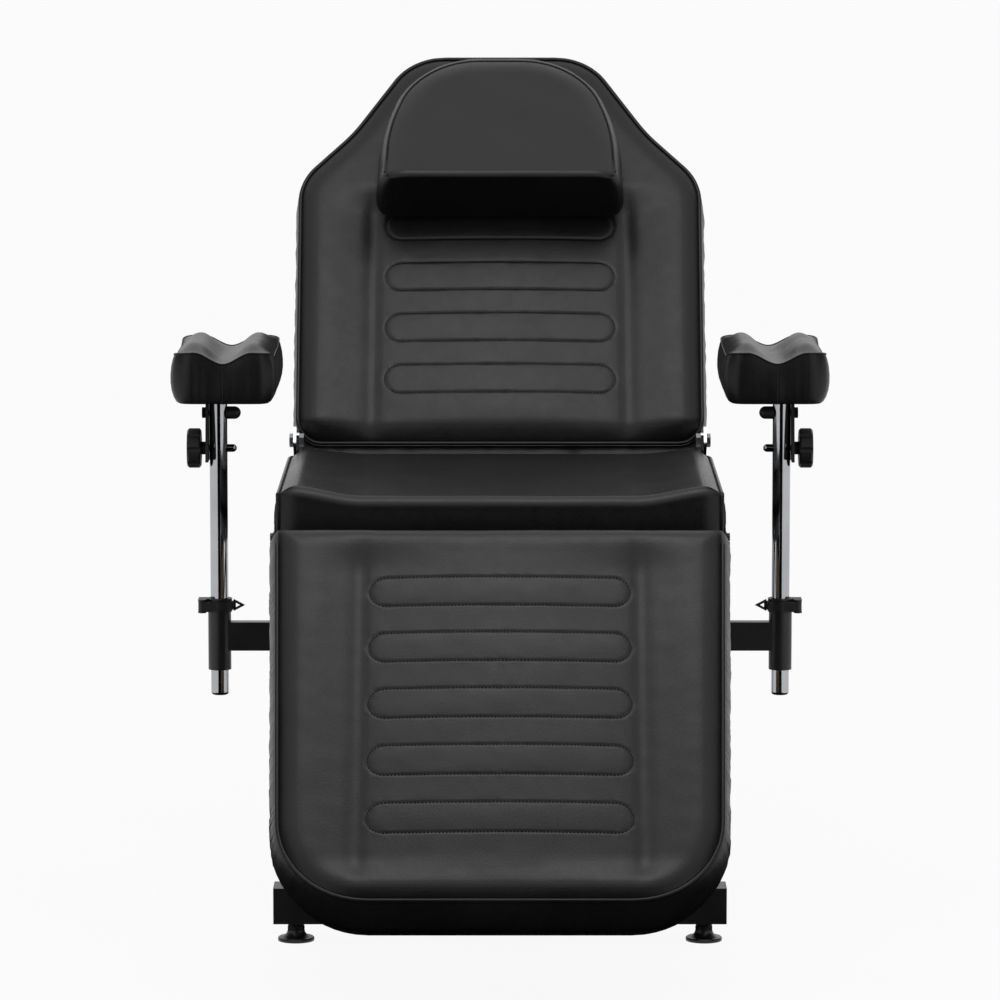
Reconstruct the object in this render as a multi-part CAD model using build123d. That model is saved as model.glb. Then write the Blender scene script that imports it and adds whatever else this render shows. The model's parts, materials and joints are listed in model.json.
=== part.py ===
from build123d import *
import math
import os

os.makedirs("parts", exist_ok=True)

# A tattoo chair: a padded seat on a lifting column, a back and a leg rest that tilt on gas struts,
# a loose head pillow, and two forearm rests on posts. -Y is the foot end, +Z is up and +X is the
# sitter's left. The back's pivot line is Y = 0 while the pieces are made.

full_turn = 360.0

# Fits and shared stock
running_fit = 0.05
slide_fit = 0.3
body_gap = 0.3
overrun = 2.0
frame_tube = 25.0
frame_wall = 1.5
plate_thickness = 4.0
least_corner = 4.0

# Cushions
seat_top = 640.0
pad_thickness = 80.0
board_thickness = 12.0
board_inset = 17.0
cushion_base_inset = 14.0
cushion_shoulder_inset = 2.5
cushion_level_shares = (0, 0.3, 0.72, 1)
crown_rise_share = 0.72
crown_run_share = 0.4
channel_half = 172.0
channel_shoulder_half = 240.0
stitch_width = 2.0
stitch_depth = 1.5

# Seat
seat_front = -480.0
seat_rear = -12.0
seat_half_width = 305.0
seat_rear_corner = 40.0
seat_front_corner = 22.0
seat_piping_inset = 11.0
seat_crown = 14.0
seat_crown_run = 20.0
seat_channel_half = 185.0
seat_channel_shoulder_half = 290.0
seat_channel_front_depth = 19.0
seat_channel_rear_depth = 7.0

# Back
back_angle = 52.0
back_pivot_rise = 8.0
back_start = 10.0
back_side_step = 5.0
back_shoulder_swell = 3.5
back_corner = 40.0
back_shoulder = 456.0
back_shoulder_radius = 95.0
back_flank_half = 223.5
back_flank = 543.0
back_flank_radius = 250.0
back_top_half = 135.0
back_end = 683.0
back_top_radius = 96.0
back_piping_inset = 10.0
back_crown = 9.0
back_crown_run = 34.0
back_channel_end = 405.0
back_stitch_half = 167.5
back_stitch_height = 48.0
back_stitch_start = 109.0
back_stitch_pitch = 88.3
back_stitch_rows = 4

# Leg rest
leg_angle = 48.0
leg_pivot_y = -476.4
leg_start = 12.6
leg_end = 600.0
leg_start_step = 5.5
leg_end_step = 8.5
leg_start_corner = 16.0
leg_end_corner = 130.0
leg_piping_inset = 14.0
leg_crown = 9.0
leg_crown_run = 34.0
leg_channel_end_gap = 46.0
leg_stitch_half = 172.5
leg_stitch_height = 45.0
leg_stitch_start = 115.5
leg_stitch_pitch = 87.3
leg_stitch_rows = 5

# Head pillow
pillow_start = 388.0
pillow_half_width = 183.0
pillow_length = 272.0
pillow_corner = 20.0
pillow_half_shares = (1, 0.97, 0.8, 0.42)
pillow_place_shares = (0, 0.4, 0.775, 1)
pillow_side_radius = 400.0
pillow_shoulder_radius = 150.0
pillow_arch_radius = 125.0
pillow_low_thickness = 103.0
pillow_high_thickness = 22.0
pillow_waist_share = 0.5
pillow_waist_inset = 5.0
pillow_rim_inset = 14.0
pillow_crown_inset = 34.0
pillow_crown_rise = 7.0
pillow_sides = ((0, 0), (pillow_waist_share, pillow_waist_inset), (1, pillow_rim_inset))
pillow_middle_inset = pillow_rim_inset + crown_run_share * (pillow_crown_inset - pillow_rim_inset)
pillow_middle_rise = crown_rise_share * pillow_crown_rise
pillow_crown = (
    (pillow_rim_inset, 0),
    (pillow_middle_inset, pillow_middle_rise),
    (pillow_crown_inset, pillow_crown_rise),
)

# Seat frame
rail_inset = 17.0
rail_rear = 10.0
rail_front = -455.0
rear_member_y = -75.1
mid_member_y = -240.0
front_member_y = -427.5
bearer_x = 70.0
bearer_front = -440.0

# Back hinge
hinge_plate_rear = 16.0
hinge_plate_front = -8.0
hinge_plate_over = 12.0
hinge_arm_front = -16.0
hinge_arm_back = 20.0
hinge_foot_end = 90.0
pivot_radius = 6.0
pivot_head_flats = 17.0
pivot_head_height = 5.5
pivot_nut_height = 6.5

# Leg hinge
leg_plate_rear = -430.0
leg_hinge_end = 90.0

# Back frame and leg frame
swing_tube_start = 24.0
back_side_end = 452.0
back_member_places = (72.0, 225.4, 439.5)
leg_side_end = 452.5
leg_member_places = (60.0, 247.6, 440.0)

# Gas struts
back_strut_x = 110.0
back_strut_radius = 290.0
back_strut_seat_angle = -105.0
back_strut_back_angle = -39.0
leg_strut_x = -110.0
leg_strut_radius = 250.0
leg_strut_seat_angle = -10.7
leg_strut_leg_angle = 188.0
strut_case_radius = 14.0
strut_case_bore = 12.0
strut_case_end = 262.0
strut_case_floor = 3.0
strut_neck = 3.0
strut_neck_radius = 5.0
strut_gland = 12.0
strut_rod_radius = 5.0
strut_piston_height = 10.0
strut_piston_radius = 11.8
strut_rod_overlap = 30.0
strut_eye_radius = 11.0
strut_eye_width = 12.0
strut_pin_radius = 4.0
strut_pin_head_radius = 7.0
strut_pin_head = 3.0
lug_gap = 15.5
lug_radius = 15.0
back_max = 65.0

# Lift column
column_y = -130.0
column_radius = 47.5
column_bore = 43.0
column_top = 400.0
column_gland = 28.0
ram_radius = 30.0
ram_bottom = 112.0
ram_piston_radius = 42.7
ram_piston_height = 24.0
lift_plate_half_x = 86.0
lift_plate_half_y = 100.0
lift_plate_thickness = 8.0
column_plate_half_x = 110.0
column_plate_front = -240.0
column_plate_rear = 0.0
column_plate_thickness = 10.0
column_flange_radius = 60.0
column_flange_height = 12.0
flange_bolts = 4
bolt_head_height = 6.0
bolt_head_flats = 10.0

# Base
beam_size = 50.0
beam_wall = 2.0
beam_half_length = 310.0
foot_height = 27.0
front_beam_y = -390.0
rear_beam_y = 160.0
base_rail_x = 85.0
end_cap_lip = 1.5
end_cap_plug = 14.0

# Levelling feet
foot_end_gap = 29.0
foot_disc_radius = 25.0
foot_disc_height = 5.0
foot_flare_radius = 24.0
foot_flare_sag_share = 0.24
foot_neck_radius = 11.7
foot_neck_height = 12.0
foot_stud_radius = 5.0
foot_stud_top = 66.0
foot_nut_flats = 19.0
foot_nut_height = 6.7
foot_bush_radius = 9.0

# Pump and pedal
pump_half_width = 30.0
pump_front = -69.0
pump_rear = -8.0
pump_top = 205.0
pump_port_radius = 8.0
pedal_pivot_y = -38.0
pedal_pivot_z = 165.0
pedal_pivot_radius = 6.0
pedal_pin_proud = 3.0
pedal_arm_half_width = 7.0
pedal_arm_x = 38.0
pedal_arm_height = 24.0
pedal_arm_end = 252.0
pedal_boss_radius = 16.0
pedal_tread_half = 62.0
pedal_tread_length = 58.0
pedal_tread_height = 16.0

# Release levers
lever_bar_half = 12.0
lever_bar_thickness = 5.0
lever_bar_length = 100.0
lever_drop = 14.0
lever_pin_radius = 4.0
lever_boss_radius = 9.0
lever_grip_length = 60.0
lever_grip_thickness = 12.0

# Arm rest bracket
arm_reach = 86.0
arm_y = -250.0
bracket_width = 40.0
bracket_drop_width = 28.0
bracket_depth = 20.0
bracket_wall = 2.0
bracket_bottom = 383.0
socket_radius = 16.0
socket_bottom = 356.0
socket_top = 437.0
bracket_bolt_radius = 3.0
bracket_bolt_pitch = 12.0
bracket_bolt_flats = 10.0
bracket_bolt_head = 4.0

# Arm rest post and clamp
post_radius = 12.5
post_wall = 2.0
post_bottom = 320.0
post_head_over = 20.0
post_foot_round = 4.0
collar_height = 18.7
collar_radius = 17.6
collar_slot = 2.0
ear_length = 11.5
ear_half = 9.0
clamp_pin_radius = 2.5
ear_tab_thickness = 3.0
lever_hub_radius = 5.5
lever_hub_gap = 1.0
strap_inner_radius = 18.3
strap_thickness = 3.0
strap_height = 12.0
strap_loop_length = 16.0
strap_loop_half = 8.5
strap_loop_wire = 3.2

# Arm rest head
tilt_pivot_z = 716.0
lock_z = 666.5
head_bolt_radius = 4.0
cap_nut_radius = 8.3
cap_nut_length = 17.0
head_bolt_flats = 13.0
head_bolt_height = 5.5
small_nut_radius = 5.6
small_nut_length = 13.0
tilt_plate_thickness = 4.0
tilt_plate_bottom = 650.0
tilt_plate_top_half = 16.0
tilt_flange_width = 25.0
tilt_flange_half = 32.0
tilt_limit = 20.0
knob_radius = 27.5
knob_thickness = 19.0
knob_face_reach = 24.0
knob_hub_radius = 9.0
knob_lobes = 8
knob_notch_radius = 5.0
knob_edge = 2.5

# Arm pads
arm_pad_bottom = 741.5
arm_pad_shift = 10.0
arm_board_thickness = 9.0
arm_board_half_width = 54.0
arm_board_half_length = 122.0
arm_board_corner = 14.0
arm_pad_half_length = 135.0
arm_pad_half_width = 69.0
arm_pad_base_half = 57.0
arm_pad_height = 71.0
arm_pad_valley = 47.0
arm_pad_outline_shares = ((1, 0.5), (0.9, 0.88), (0.66, 1), (0.38, 0.83))
arm_pad_place_shares = (-1, -0.95, -0.82, 0.82, 0.95, 1)
arm_pad_size_shares = (0.93, 0.985, 1, 1, 0.985, 0.93)

# Heights worked out from the stack of cushion, board and frame
board_top = seat_top - pad_thickness
board_bottom = board_top - board_thickness
rail_bottom = board_bottom - frame_tube
back_pivot_z = seat_top + back_pivot_rise
leg_pivot_z = rail_bottom + frame_tube / 2
leg_face = seat_top - leg_pivot_z
bearer_bottom = rail_bottom - frame_tube
lift_plate_bottom = bearer_bottom - lift_plate_thickness
beam_top = foot_height + beam_size
collar_bottom = socket_top + slide_fit
foot_x = beam_half_length - foot_end_gap
rail_outer = seat_half_width - rail_inset
back_half_width = seat_half_width - back_side_step
back_shoulder_half = back_half_width + back_shoulder_swell
leg_start_half = seat_half_width + leg_start_step
leg_end_half = seat_half_width - leg_end_step
arm_x = seat_half_width + arm_reach
arm_pad_x = arm_x - arm_pad_shift
knob_face_x = arm_x + knob_face_reach
rail_inner = rail_outer - frame_tube
hinge_arm_inner = rail_outer + plate_thickness + body_gap
swing_outer = hinge_arm_inner
back_board_top = -back_pivot_rise - pad_thickness
back_board_bottom = back_board_top - board_thickness
back_frame_bottom = back_board_bottom - frame_tube
leg_board_top = leg_face - pad_thickness
leg_board_bottom = leg_board_top - board_thickness
leg_frame_bottom = leg_board_bottom - frame_tube

back_place = Pos(0, 0, back_pivot_z) * Rot(back_angle, 0, 0)
leg_place = Pos(0, leg_pivot_y, leg_pivot_z) * Rot(leg_angle, 0, 0)


def block(x, y, z):
    """A solid between a low and a high value along each axis."""
    low = [min(pair) for pair in (x, y, z)]
    size = [max(pair) - min(pair) for pair in (x, y, z)]
    return Pos(*low) * Box(*size, align=(Align.MIN, Align.MIN, Align.MIN))


def tube(x, y, z, wall, along):
    """A rectangular tube, open at both ends of the named axis."""
    inner = []
    for name, pair in zip("XYZ", (x, y, z)):
        low, high = min(pair), max(pair)
        if name == along:
            inner.append((low - overrun, high + overrun))
        else:
            inner.append((low + wall, high - wall))
    return block(x, y, z) - block(*inner)


def rod(start, end, radius):
    """A round bar from one point to another."""
    span = Vector(*end) - Vector(*start)
    shape = Cylinder(radius, span.length, align=(Align.CENTER, Align.CENTER, Align.MIN))
    return Plane(origin=start, z_dir=span) * shape


def upright(x, y, low, high, radius):
    """A round bar along Z."""
    return rod((x, y, low), (x, y, high), radius)


def bar(x, y, z, radius):
    """A round bar along X."""
    return rod((x[0], y, z), (x[1], y, z), radius)


def bore(x, y, z, radius):
    """The cut for a hole along X, longer than what it goes through."""
    return bar((min(x) - overrun, max(x) + overrun), y, z, radius)


def hexagon(start, end, flats):
    """A hexagonal head or nut from one point to another."""
    span = Vector(*end) - Vector(*start)
    shape = extrude(RegularPolygon(flats / 2, 6, major_radius=False), amount=span.length)
    return Plane(origin=start, z_dir=span) * shape


def both(shape):
    """A piece and its mirror image on the other side of the chair."""
    return [shape, mirror(shape, about=Plane.YZ)]


def group(*shapes):
    """Separate solids kept in one node."""
    return Compound([solid for shape in shapes for solid in shape.solids()])


def polar(radius, angle):
    return radius * math.cos(math.radians(angle)), radius * math.sin(math.radians(angle))


def outline(points, radii, inset, level):
    """A symmetric outline with rounded corners, drawn in by an inset, at a level.

    The points run up the right-hand side, and the left-hand side is their mirror image.
    """
    ring = list(points)
    sizes = list(radii)
    for (x, y), radius in zip(reversed(points), reversed(radii)):
        if x > 0:
            ring.append((-x, y))
            sizes.append(radius)
    corners = []
    rounds = []
    for i, here in enumerate(ring):
        before = ring[i - 1]
        after = ring[(i + 1) % len(ring)]
        one = Vector(here[0] - before[0], here[1] - before[1]).normalized()
        two = Vector(after[0] - here[0], after[1] - here[1]).normalized()
        side_one = Vector(-one.Y, one.X)
        side_two = Vector(-two.Y, two.X)
        move = (side_one + side_two) * (inset / (1 + side_one.dot(side_two)))
        corners.append((here[0] + move.X, here[1] + move.Y))
        turn = one.X * two.Y - one.Y * two.X
        rounds.append(max(sizes[i] - inset, least_corner) if turn > 0 else sizes[i] + inset)
    return Pos(0, 0, level) * make_face(FilletPolyline(*corners, radius=rounds, close=True))


def padded_block(points, radii, height, piping_inset, crown, crown_run):
    """A cushion that bulges at its sides, draws in to its piping and rises to a crown."""
    side_top = height - crown
    insets = (cushion_base_inset, 0, cushion_shoulder_inset, piping_inset)
    rows = zip(cushion_level_shares, insets)
    sides = loft([outline(points, radii, inset, share * side_top) for share, inset in rows])
    top_rows = (
        (piping_inset, side_top),
        (piping_inset + crown_run_share * crown_run, side_top + crown_rise_share * crown),
        (piping_inset + crown_run, height),
    )
    return sides + loft([outline(points, radii, inset, level) for inset, level in top_rows])


def channel_profile(half, shoulder_half, depth, place, top):
    """The shallow trough down the middle of a cushion, as a face across it."""
    middle = (half + shoulder_half) / 2
    edges = []
    for side in (1, -1):
        low = (side * half, -depth)
        mean = (side * middle, -depth / 2)
        high = (side * shoulder_half, 0)
        edges.append(TangentArc(low, mean, tangent=(side, 0)))
        edges.append(TangentArc(high, mean, tangent=(-side, 0)))
        edges.append(Line(high, (high[0], overrun)))
    edges.append(Line((-half, -depth), (half, -depth)))
    edges.append(Line((-shoulder_half, overrun), (shoulder_half, overrun)))
    across = Plane(origin=(0, place, top), x_dir=(1, 0, 0), z_dir=(0, -1, 0))
    return across * make_face(edges)


def stitch_ring(half, height, place, level):
    """One sewn outline, a narrow groove in the shape of a pill."""
    outer = SlotOverall(2 * half, height)
    inner = SlotOverall(2 * half - 2 * stitch_width, height - 2 * stitch_width)
    ring = extrude(outer - inner, amount=stitch_depth + overrun)
    return Pos(0, place, level - stitch_depth) * ring


# Base frame on the floor
def cross_beam(y):
    spans = (y - beam_size / 2, y + beam_size / 2)
    beam = tube((-beam_half_length, beam_half_length), spans, (foot_height, beam_top), beam_wall, "X")
    for side in (1, -1):
        top = foot_height + beam_wall + overrun
        beam -= upright(side * foot_x, y, 0, top, foot_bush_radius)
    return beam


def base_rails():
    y = (front_beam_y + beam_size / 2, rear_beam_y - beam_size / 2)
    x = (base_rail_x - beam_size / 2, base_rail_x + beam_size / 2)
    return group(*both(tube(x, y, (foot_height, beam_top), beam_wall, "Y")))


def end_caps():
    caps = []
    for y in (front_beam_y, rear_beam_y):
        spans = (y - beam_size / 2, y + beam_size / 2)
        inner = (spans[0] + beam_wall, spans[1] - beam_wall)
        lip = block((beam_half_length, beam_half_length + end_cap_lip), spans, (foot_height, beam_top))
        plug = block(
            (beam_half_length - end_cap_plug, beam_half_length),
            inner,
            (foot_height + beam_wall, beam_top - beam_wall),
        )
        caps += both(lip + plug)
    return group(*caps)


def foot_bush(x, y):
    """The threaded bush welded into the underside of a beam."""
    body = upright(x, y, foot_height, beam_top - beam_wall, foot_bush_radius)
    return body - upright(x, y, 0, beam_top + overrun, foot_stud_radius + running_fit)


def foot_flare():
    """The foot's neck, which flares out to the disc along a hollow curve."""
    low = (foot_flare_radius, 0)
    high = (foot_neck_radius, foot_neck_height)
    sag = foot_flare_sag_share * (foot_flare_radius - foot_neck_radius)
    middle = ((low[0] + high[0]) / 2 - sag, (low[1] + high[1]) / 2 - sag)
    nut_low = foot_height - body_gap - foot_nut_height - foot_disc_height
    top = (foot_neck_radius, nut_low)
    side = ThreePointArc(low, middle, high)
    edges = Polyline(high, top, (0, nut_low), (0, 0), low)
    return revolve(Plane.XZ * make_face([side, *edges.edges()]), Axis.Z)


def levelling_foot(x, y):
    disc = upright(x, y, 0, foot_disc_height, foot_disc_radius)
    disc = chamfer(disc.faces().sort_by(Axis.Z)[-1].edges(), foot_disc_height / 4)
    neck = Pos(x, y, foot_disc_height) * foot_flare()
    stud = upright(x, y, foot_disc_height, foot_stud_top, foot_stud_radius)
    nut_low = foot_height - body_gap - foot_nut_height
    nut = hexagon((x, y, nut_low), (x, y, nut_low + foot_nut_height), foot_nut_flats)
    return disc + neck + stud + nut


def column_plate():
    x = (-column_plate_half_x, column_plate_half_x)
    y = (column_plate_front, column_plate_rear)
    return block(x, y, (beam_top, beam_top + column_plate_thickness))


def column_case():
    """The outer cylinder of the lift, with a bolted foot flange and a gland at its mouth."""
    low = beam_top + column_plate_thickness
    floor = low + column_flange_height
    mouth = column_top - column_gland
    case = upright(0, column_y, low, column_top, column_radius)
    case += upright(0, column_y, low, floor, column_flange_radius)
    case -= upright(0, column_y, floor, mouth, column_bore)
    return case - upright(0, column_y, mouth, column_top + overrun, ram_radius + running_fit)


def flange_bolt_places():
    reach = (column_flange_radius + column_radius) / 2
    step = full_turn / flange_bolts
    for i in range(flange_bolts):
        x, y = polar(reach, step / 2 + i * step)
        yield x, column_y + y


def base_fasteners():
    """Foot bushes, the flange's bolts and the pedal's pin."""
    pieces = []
    for y in (front_beam_y, rear_beam_y):
        pieces += both(foot_bush(foot_x, y))
    low = beam_top + column_plate_thickness + column_flange_height
    for x, y in flange_bolt_places():
        pieces.append(hexagon((x, y, low), (x, y, low + bolt_head_height), bolt_head_flats))
    reach = pedal_arm_x + pedal_arm_half_width + pedal_pin_proud
    pieces.append(bar((-reach, reach), pedal_pivot_y, pedal_pivot_z, pedal_pivot_radius))
    return group(*pieces)


def pump_body():
    """The hydraulic pump behind the column, with the hole for the pedal's pin."""
    low = beam_top + column_plate_thickness
    body = block((-pump_half_width, pump_half_width), (pump_front, pump_rear), (low, pump_top))
    body = fillet(body.edges().filter_by(Axis.Z), least_corner)
    port = (0, column_y + column_radius, pedal_pivot_z)
    body += rod(port, (0, pump_front + overrun, pedal_pivot_z), pump_port_radius)
    body -= upright(0, column_y, low, pump_top, column_radius)
    width = (-pump_half_width, pump_half_width)
    return body - bore(width, pedal_pivot_y, pedal_pivot_z, pedal_pivot_radius)


def pedal_arm():
    """Two arms on the pump's pin, joined under the tread."""
    half = pedal_arm_height / 2
    arms = []
    for side in (1, -1):
        x = (side * (pedal_arm_x - pedal_arm_half_width), side * (pedal_arm_x + pedal_arm_half_width))
        arm = block(x, (pedal_pivot_y, pedal_arm_end), (pedal_pivot_z - half, pedal_pivot_z + half))
        arm += bar(x, pedal_pivot_y, pedal_pivot_z, pedal_boss_radius)
        arms.append(arm - bore(x, pedal_pivot_y, pedal_pivot_z, pedal_pivot_radius + running_fit))
    inner = pedal_arm_x - pedal_arm_half_width
    y = (pedal_arm_end - pedal_arm_height, pedal_arm_end)
    tie = block((-inner, inner), y, (pedal_pivot_z - half, pedal_pivot_z + half))
    return arms[0] + arms[1] + tie


def pedal_tread():
    low = pedal_pivot_z + pedal_arm_height / 2
    y = (pedal_arm_end - pedal_tread_length, pedal_arm_end)
    tread = block((-pedal_tread_half, pedal_tread_half), y, (low, low + pedal_tread_height))
    return fillet(tread.edges().filter_by(Axis.Z), least_corner)


# Seat carrier
def lift_ram():
    ram = upright(0, column_y, ram_bottom, lift_plate_bottom, ram_radius)
    return ram + upright(0, column_y, ram_bottom, ram_bottom + ram_piston_height, ram_piston_radius)


def lift_plate():
    y = (column_y - lift_plate_half_y, column_y + lift_plate_half_y)
    return block((-lift_plate_half_x, lift_plate_half_x), y, (lift_plate_bottom, bearer_bottom))


def seat_rails():
    z = (rail_bottom, board_bottom)
    return group(*both(tube((rail_inner, rail_outer), (rail_front, rail_rear), z, frame_wall, "Y")))


def lug_pair(x, y, z, top):
    """Two ears that hang from a frame member and hold the end of a gas strut."""
    ears = []
    for side in (1, -1):
        spans = (x + side * lug_gap, x + side * (lug_gap + plate_thickness))
        ear = block(spans, (y - lug_radius, y + lug_radius), (z, top))
        ear += bar(spans, y, z, lug_radius)
        ears.append(ear - bore(spans, y, z, strut_pin_radius))
    return ears


def strut_pin(x, y, z):
    """A plain pin with a head at each end, through a pair of ears."""
    outer = lug_gap + plate_thickness
    pin = bar((x - outer, x + outer), y, z, strut_pin_radius)
    for side in (1, -1):
        head = (x + side * outer, x + side * (outer + strut_pin_head))
        pin += bar(head, y, z, strut_pin_head_radius)
    return pin


back_strut_low = polar(back_strut_radius, back_strut_seat_angle)
leg_strut_low = polar(leg_strut_radius, leg_strut_seat_angle)
back_strut_seat_y = back_strut_low[0]
back_strut_seat_z = back_pivot_z + back_strut_low[1]
leg_strut_seat_y = leg_pivot_y + leg_strut_low[0]
leg_strut_seat_z = leg_pivot_z + leg_strut_low[1]


def seat_members():
    """Cross members between the rails, the bearers on the lift plate, and the strut lugs."""
    pieces = []
    for y in (rear_member_y, mid_member_y, front_member_y):
        spans = (y - frame_tube / 2, y + frame_tube / 2)
        pieces.append(tube((-rail_inner, rail_inner), spans, (rail_bottom, board_bottom), frame_wall, "X"))
    bearer = tube(
        (bearer_x - frame_tube / 2, bearer_x + frame_tube / 2),
        (bearer_front, rear_member_y + frame_tube / 2),
        (bearer_bottom, rail_bottom),
        frame_wall,
        "Y",
    )
    pieces += both(bearer)
    pieces += lug_pair(back_strut_x, back_strut_seat_y, back_strut_seat_z, rail_bottom)
    pieces += lug_pair(leg_strut_x, leg_strut_seat_y, leg_strut_seat_z, rail_bottom)
    return group(*pieces)


seat_points = ((seat_half_width, seat_front), (seat_half_width, seat_rear))
seat_radii = (seat_front_corner, seat_rear_corner)


def seat_cushion():
    pad = Pos(0, 0, board_top) * padded_block(
        seat_points, seat_radii, pad_thickness, seat_piping_inset, seat_crown, seat_crown_run
    )
    half, shoulder = seat_channel_half, seat_channel_shoulder_half
    front, rear = seat_front - overrun, seat_rear + overrun
    front_profile = channel_profile(half, shoulder, seat_channel_front_depth, front, seat_top)
    rear_profile = channel_profile(half, shoulder, seat_channel_rear_depth, rear, seat_top)
    return pad - loft([front_profile, rear_profile])


def seat_board():
    shape = outline(seat_points, seat_radii, board_inset, board_bottom)
    return extrude(shape, amount=board_thickness)


def seat_hinge_plates():
    """The plates on the rails that hold the back's pivot and the leg rest's pivot."""
    x = (rail_outer, rail_outer + plate_thickness)
    z = (rail_bottom, back_pivot_z + hinge_plate_over)
    rear = block(x, (hinge_plate_front, hinge_plate_rear), z)
    upper = rear.edges().filter_by(Axis.X).sort_by(Axis.Z)[-2:]
    rear = fillet(upper, hinge_plate_over / 2) - bore(x, 0, back_pivot_z, pivot_radius)
    front = block(x, (leg_pivot_y, leg_plate_rear), (rail_bottom, board_bottom))
    front += bar(x, leg_pivot_y, leg_pivot_z, frame_tube / 2)
    front -= bore(x, leg_pivot_y, leg_pivot_z, pivot_radius)
    return group(*both(rear), *both(front))


def pivot_bolt(y, z):
    """A pivot bolt through a seat-side plate and a moving plate, with its head outside."""
    outer = hinge_arm_inner + plate_thickness + body_gap
    bolt = bar((rail_outer - pivot_nut_height, outer), y, z, pivot_radius)
    bolt += hexagon((outer, y, z), (outer + pivot_head_height, y, z), pivot_head_flats)
    bolt += hexagon((rail_outer - pivot_nut_height, y, z), (rail_outer, y, z), pivot_head_flats)
    return bolt


def hinge_bolts():
    return group(*both(pivot_bolt(0, back_pivot_z)), *both(pivot_bolt(leg_pivot_y, leg_pivot_z)))


# Back
back_points = (
    (back_half_width, back_start),
    (back_shoulder_half, back_shoulder),
    (back_flank_half, back_flank),
    (back_top_half, back_end),
)
back_radii = (back_corner, back_shoulder_radius, back_flank_radius, back_top_radius)


def back_cushion():
    height = pad_thickness + back_crown
    pad = padded_block(back_points, back_radii, height, back_piping_inset, back_crown, back_crown_run)
    pad = Pos(0, 0, back_board_top) * pad
    face = -back_pivot_rise
    top = face + back_crown
    trough = channel_profile(channel_half, channel_shoulder_half, back_crown, back_channel_end, top)
    pad -= extrude(trough, amount=back_channel_end)
    for row in range(back_stitch_rows):
        place = back_stitch_start + row * back_stitch_pitch
        pad -= stitch_ring(back_stitch_half, back_stitch_height, place, face)
    return back_place * pad


def back_board():
    shape = outline(back_points, back_radii, board_inset, back_board_bottom)
    return back_place * extrude(shape, amount=board_thickness)


def back_side_tubes():
    x = (swing_outer - frame_tube, swing_outer)
    z = (back_frame_bottom, back_board_bottom)
    side = tube(x, (swing_tube_start, back_side_end), z, frame_wall, "Y")
    return back_place * group(*both(side))


def member(place, inner, z):
    spans = (place - frame_tube / 2, place + frame_tube / 2)
    return tube((-inner, inner), spans, z, frame_wall, "X")


back_strut_local = polar(back_strut_radius, back_strut_back_angle)


def back_members():
    """Cross members of the back and the lug of its gas strut."""
    inner = swing_outer - frame_tube
    z = (back_frame_bottom, back_board_bottom)
    pieces = [member(place, inner, z) for place in back_member_places]
    pieces += lug_pair(back_strut_x, *back_strut_local, back_frame_bottom)
    pieces += lever_ears(back_member_places[-1], back_frame_bottom)
    return back_place * group(*pieces)


def back_strut_pin():
    return back_place * strut_pin(back_strut_x, *back_strut_local)


def hinge_plate_back():
    """An L-shaped plate: an arm down from the pivot and a foot along the side tube."""
    x = (hinge_arm_inner, hinge_arm_inner + plate_thickness)
    plate = block(x, (hinge_arm_front, hinge_arm_back), (back_frame_bottom, hinge_plate_over))
    upper = plate.edges().filter_by(Axis.X).sort_by(Axis.Z)[-2:]
    plate = fillet(upper, hinge_plate_over / 2)
    plate += block(x, (hinge_arm_front, hinge_foot_end), (back_frame_bottom, back_board_bottom))
    return plate - bore(x, 0, 0, pivot_radius + running_fit)


def back_hinge_plates():
    return back_place * group(*both(hinge_plate_back()))


# Head pillow
pillow_points = tuple(
    (half * pillow_half_width, place * pillow_length)
    for half, place in zip(pillow_half_shares, pillow_place_shares)
)
pillow_radii = (pillow_corner, pillow_side_radius, pillow_shoulder_radius, pillow_arch_radius)
pillow_fall = math.atan2(pillow_low_thickness - pillow_high_thickness, pillow_length)


def pillow_section(share, inset, rise):
    """The pillow's outline at a share of its thickness, tilted by the same share of its slope."""
    low = back_crown - back_pivot_rise + body_gap
    tilt = Rot(-math.degrees(pillow_fall) * share, 0, 0)
    place = Pos(0, pillow_start, low + share * pillow_low_thickness) * tilt
    return place * outline(pillow_points, pillow_radii, inset, rise)


def head_pillow():
    """A wedge, thick at its lower edge, with an arched top and a crowned face."""
    sides = loft([pillow_section(share, inset, 0) for share, inset in pillow_sides])
    crown = loft([pillow_section(1, inset, rise) for inset, rise in pillow_crown])
    return back_place * (sides + crown)


# Leg rest
leg_points = ((leg_start_half, leg_start), (leg_end_half, leg_end))
leg_radii = (leg_start_corner, leg_end_corner)


def turned(shape):
    """A piece drawn with its length along +Y, turned to run towards the foot end."""
    return mirror(shape, about=Plane.XZ)


def leg_cushion():
    height = pad_thickness + leg_crown
    pad = padded_block(leg_points, leg_radii, height, leg_piping_inset, leg_crown, leg_crown_run)
    pad = Pos(0, 0, leg_board_top) * pad
    end = leg_end - leg_channel_end_gap
    top = leg_face + leg_crown
    trough = channel_profile(channel_half, channel_shoulder_half, leg_crown, end, top)
    pad -= extrude(trough, amount=end)
    for row in range(leg_stitch_rows):
        place = leg_stitch_start + row * leg_stitch_pitch
        pad -= stitch_ring(leg_stitch_half, leg_stitch_height, place, leg_face)
    return leg_place * turned(pad)


def leg_board():
    shape = outline(leg_points, leg_radii, board_inset, leg_board_bottom)
    return leg_place * turned(extrude(shape, amount=board_thickness))


def leg_side_tubes():
    x = (swing_outer - frame_tube, swing_outer)
    z = (leg_frame_bottom, leg_board_bottom)
    side = tube(x, (swing_tube_start, leg_side_end), z, frame_wall, "Y")
    return leg_place * turned(group(*both(side)))


leg_strut_flat = polar(leg_strut_radius, leg_strut_leg_angle)
leg_strut_local = (-leg_strut_flat[0], leg_strut_flat[1])


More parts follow.
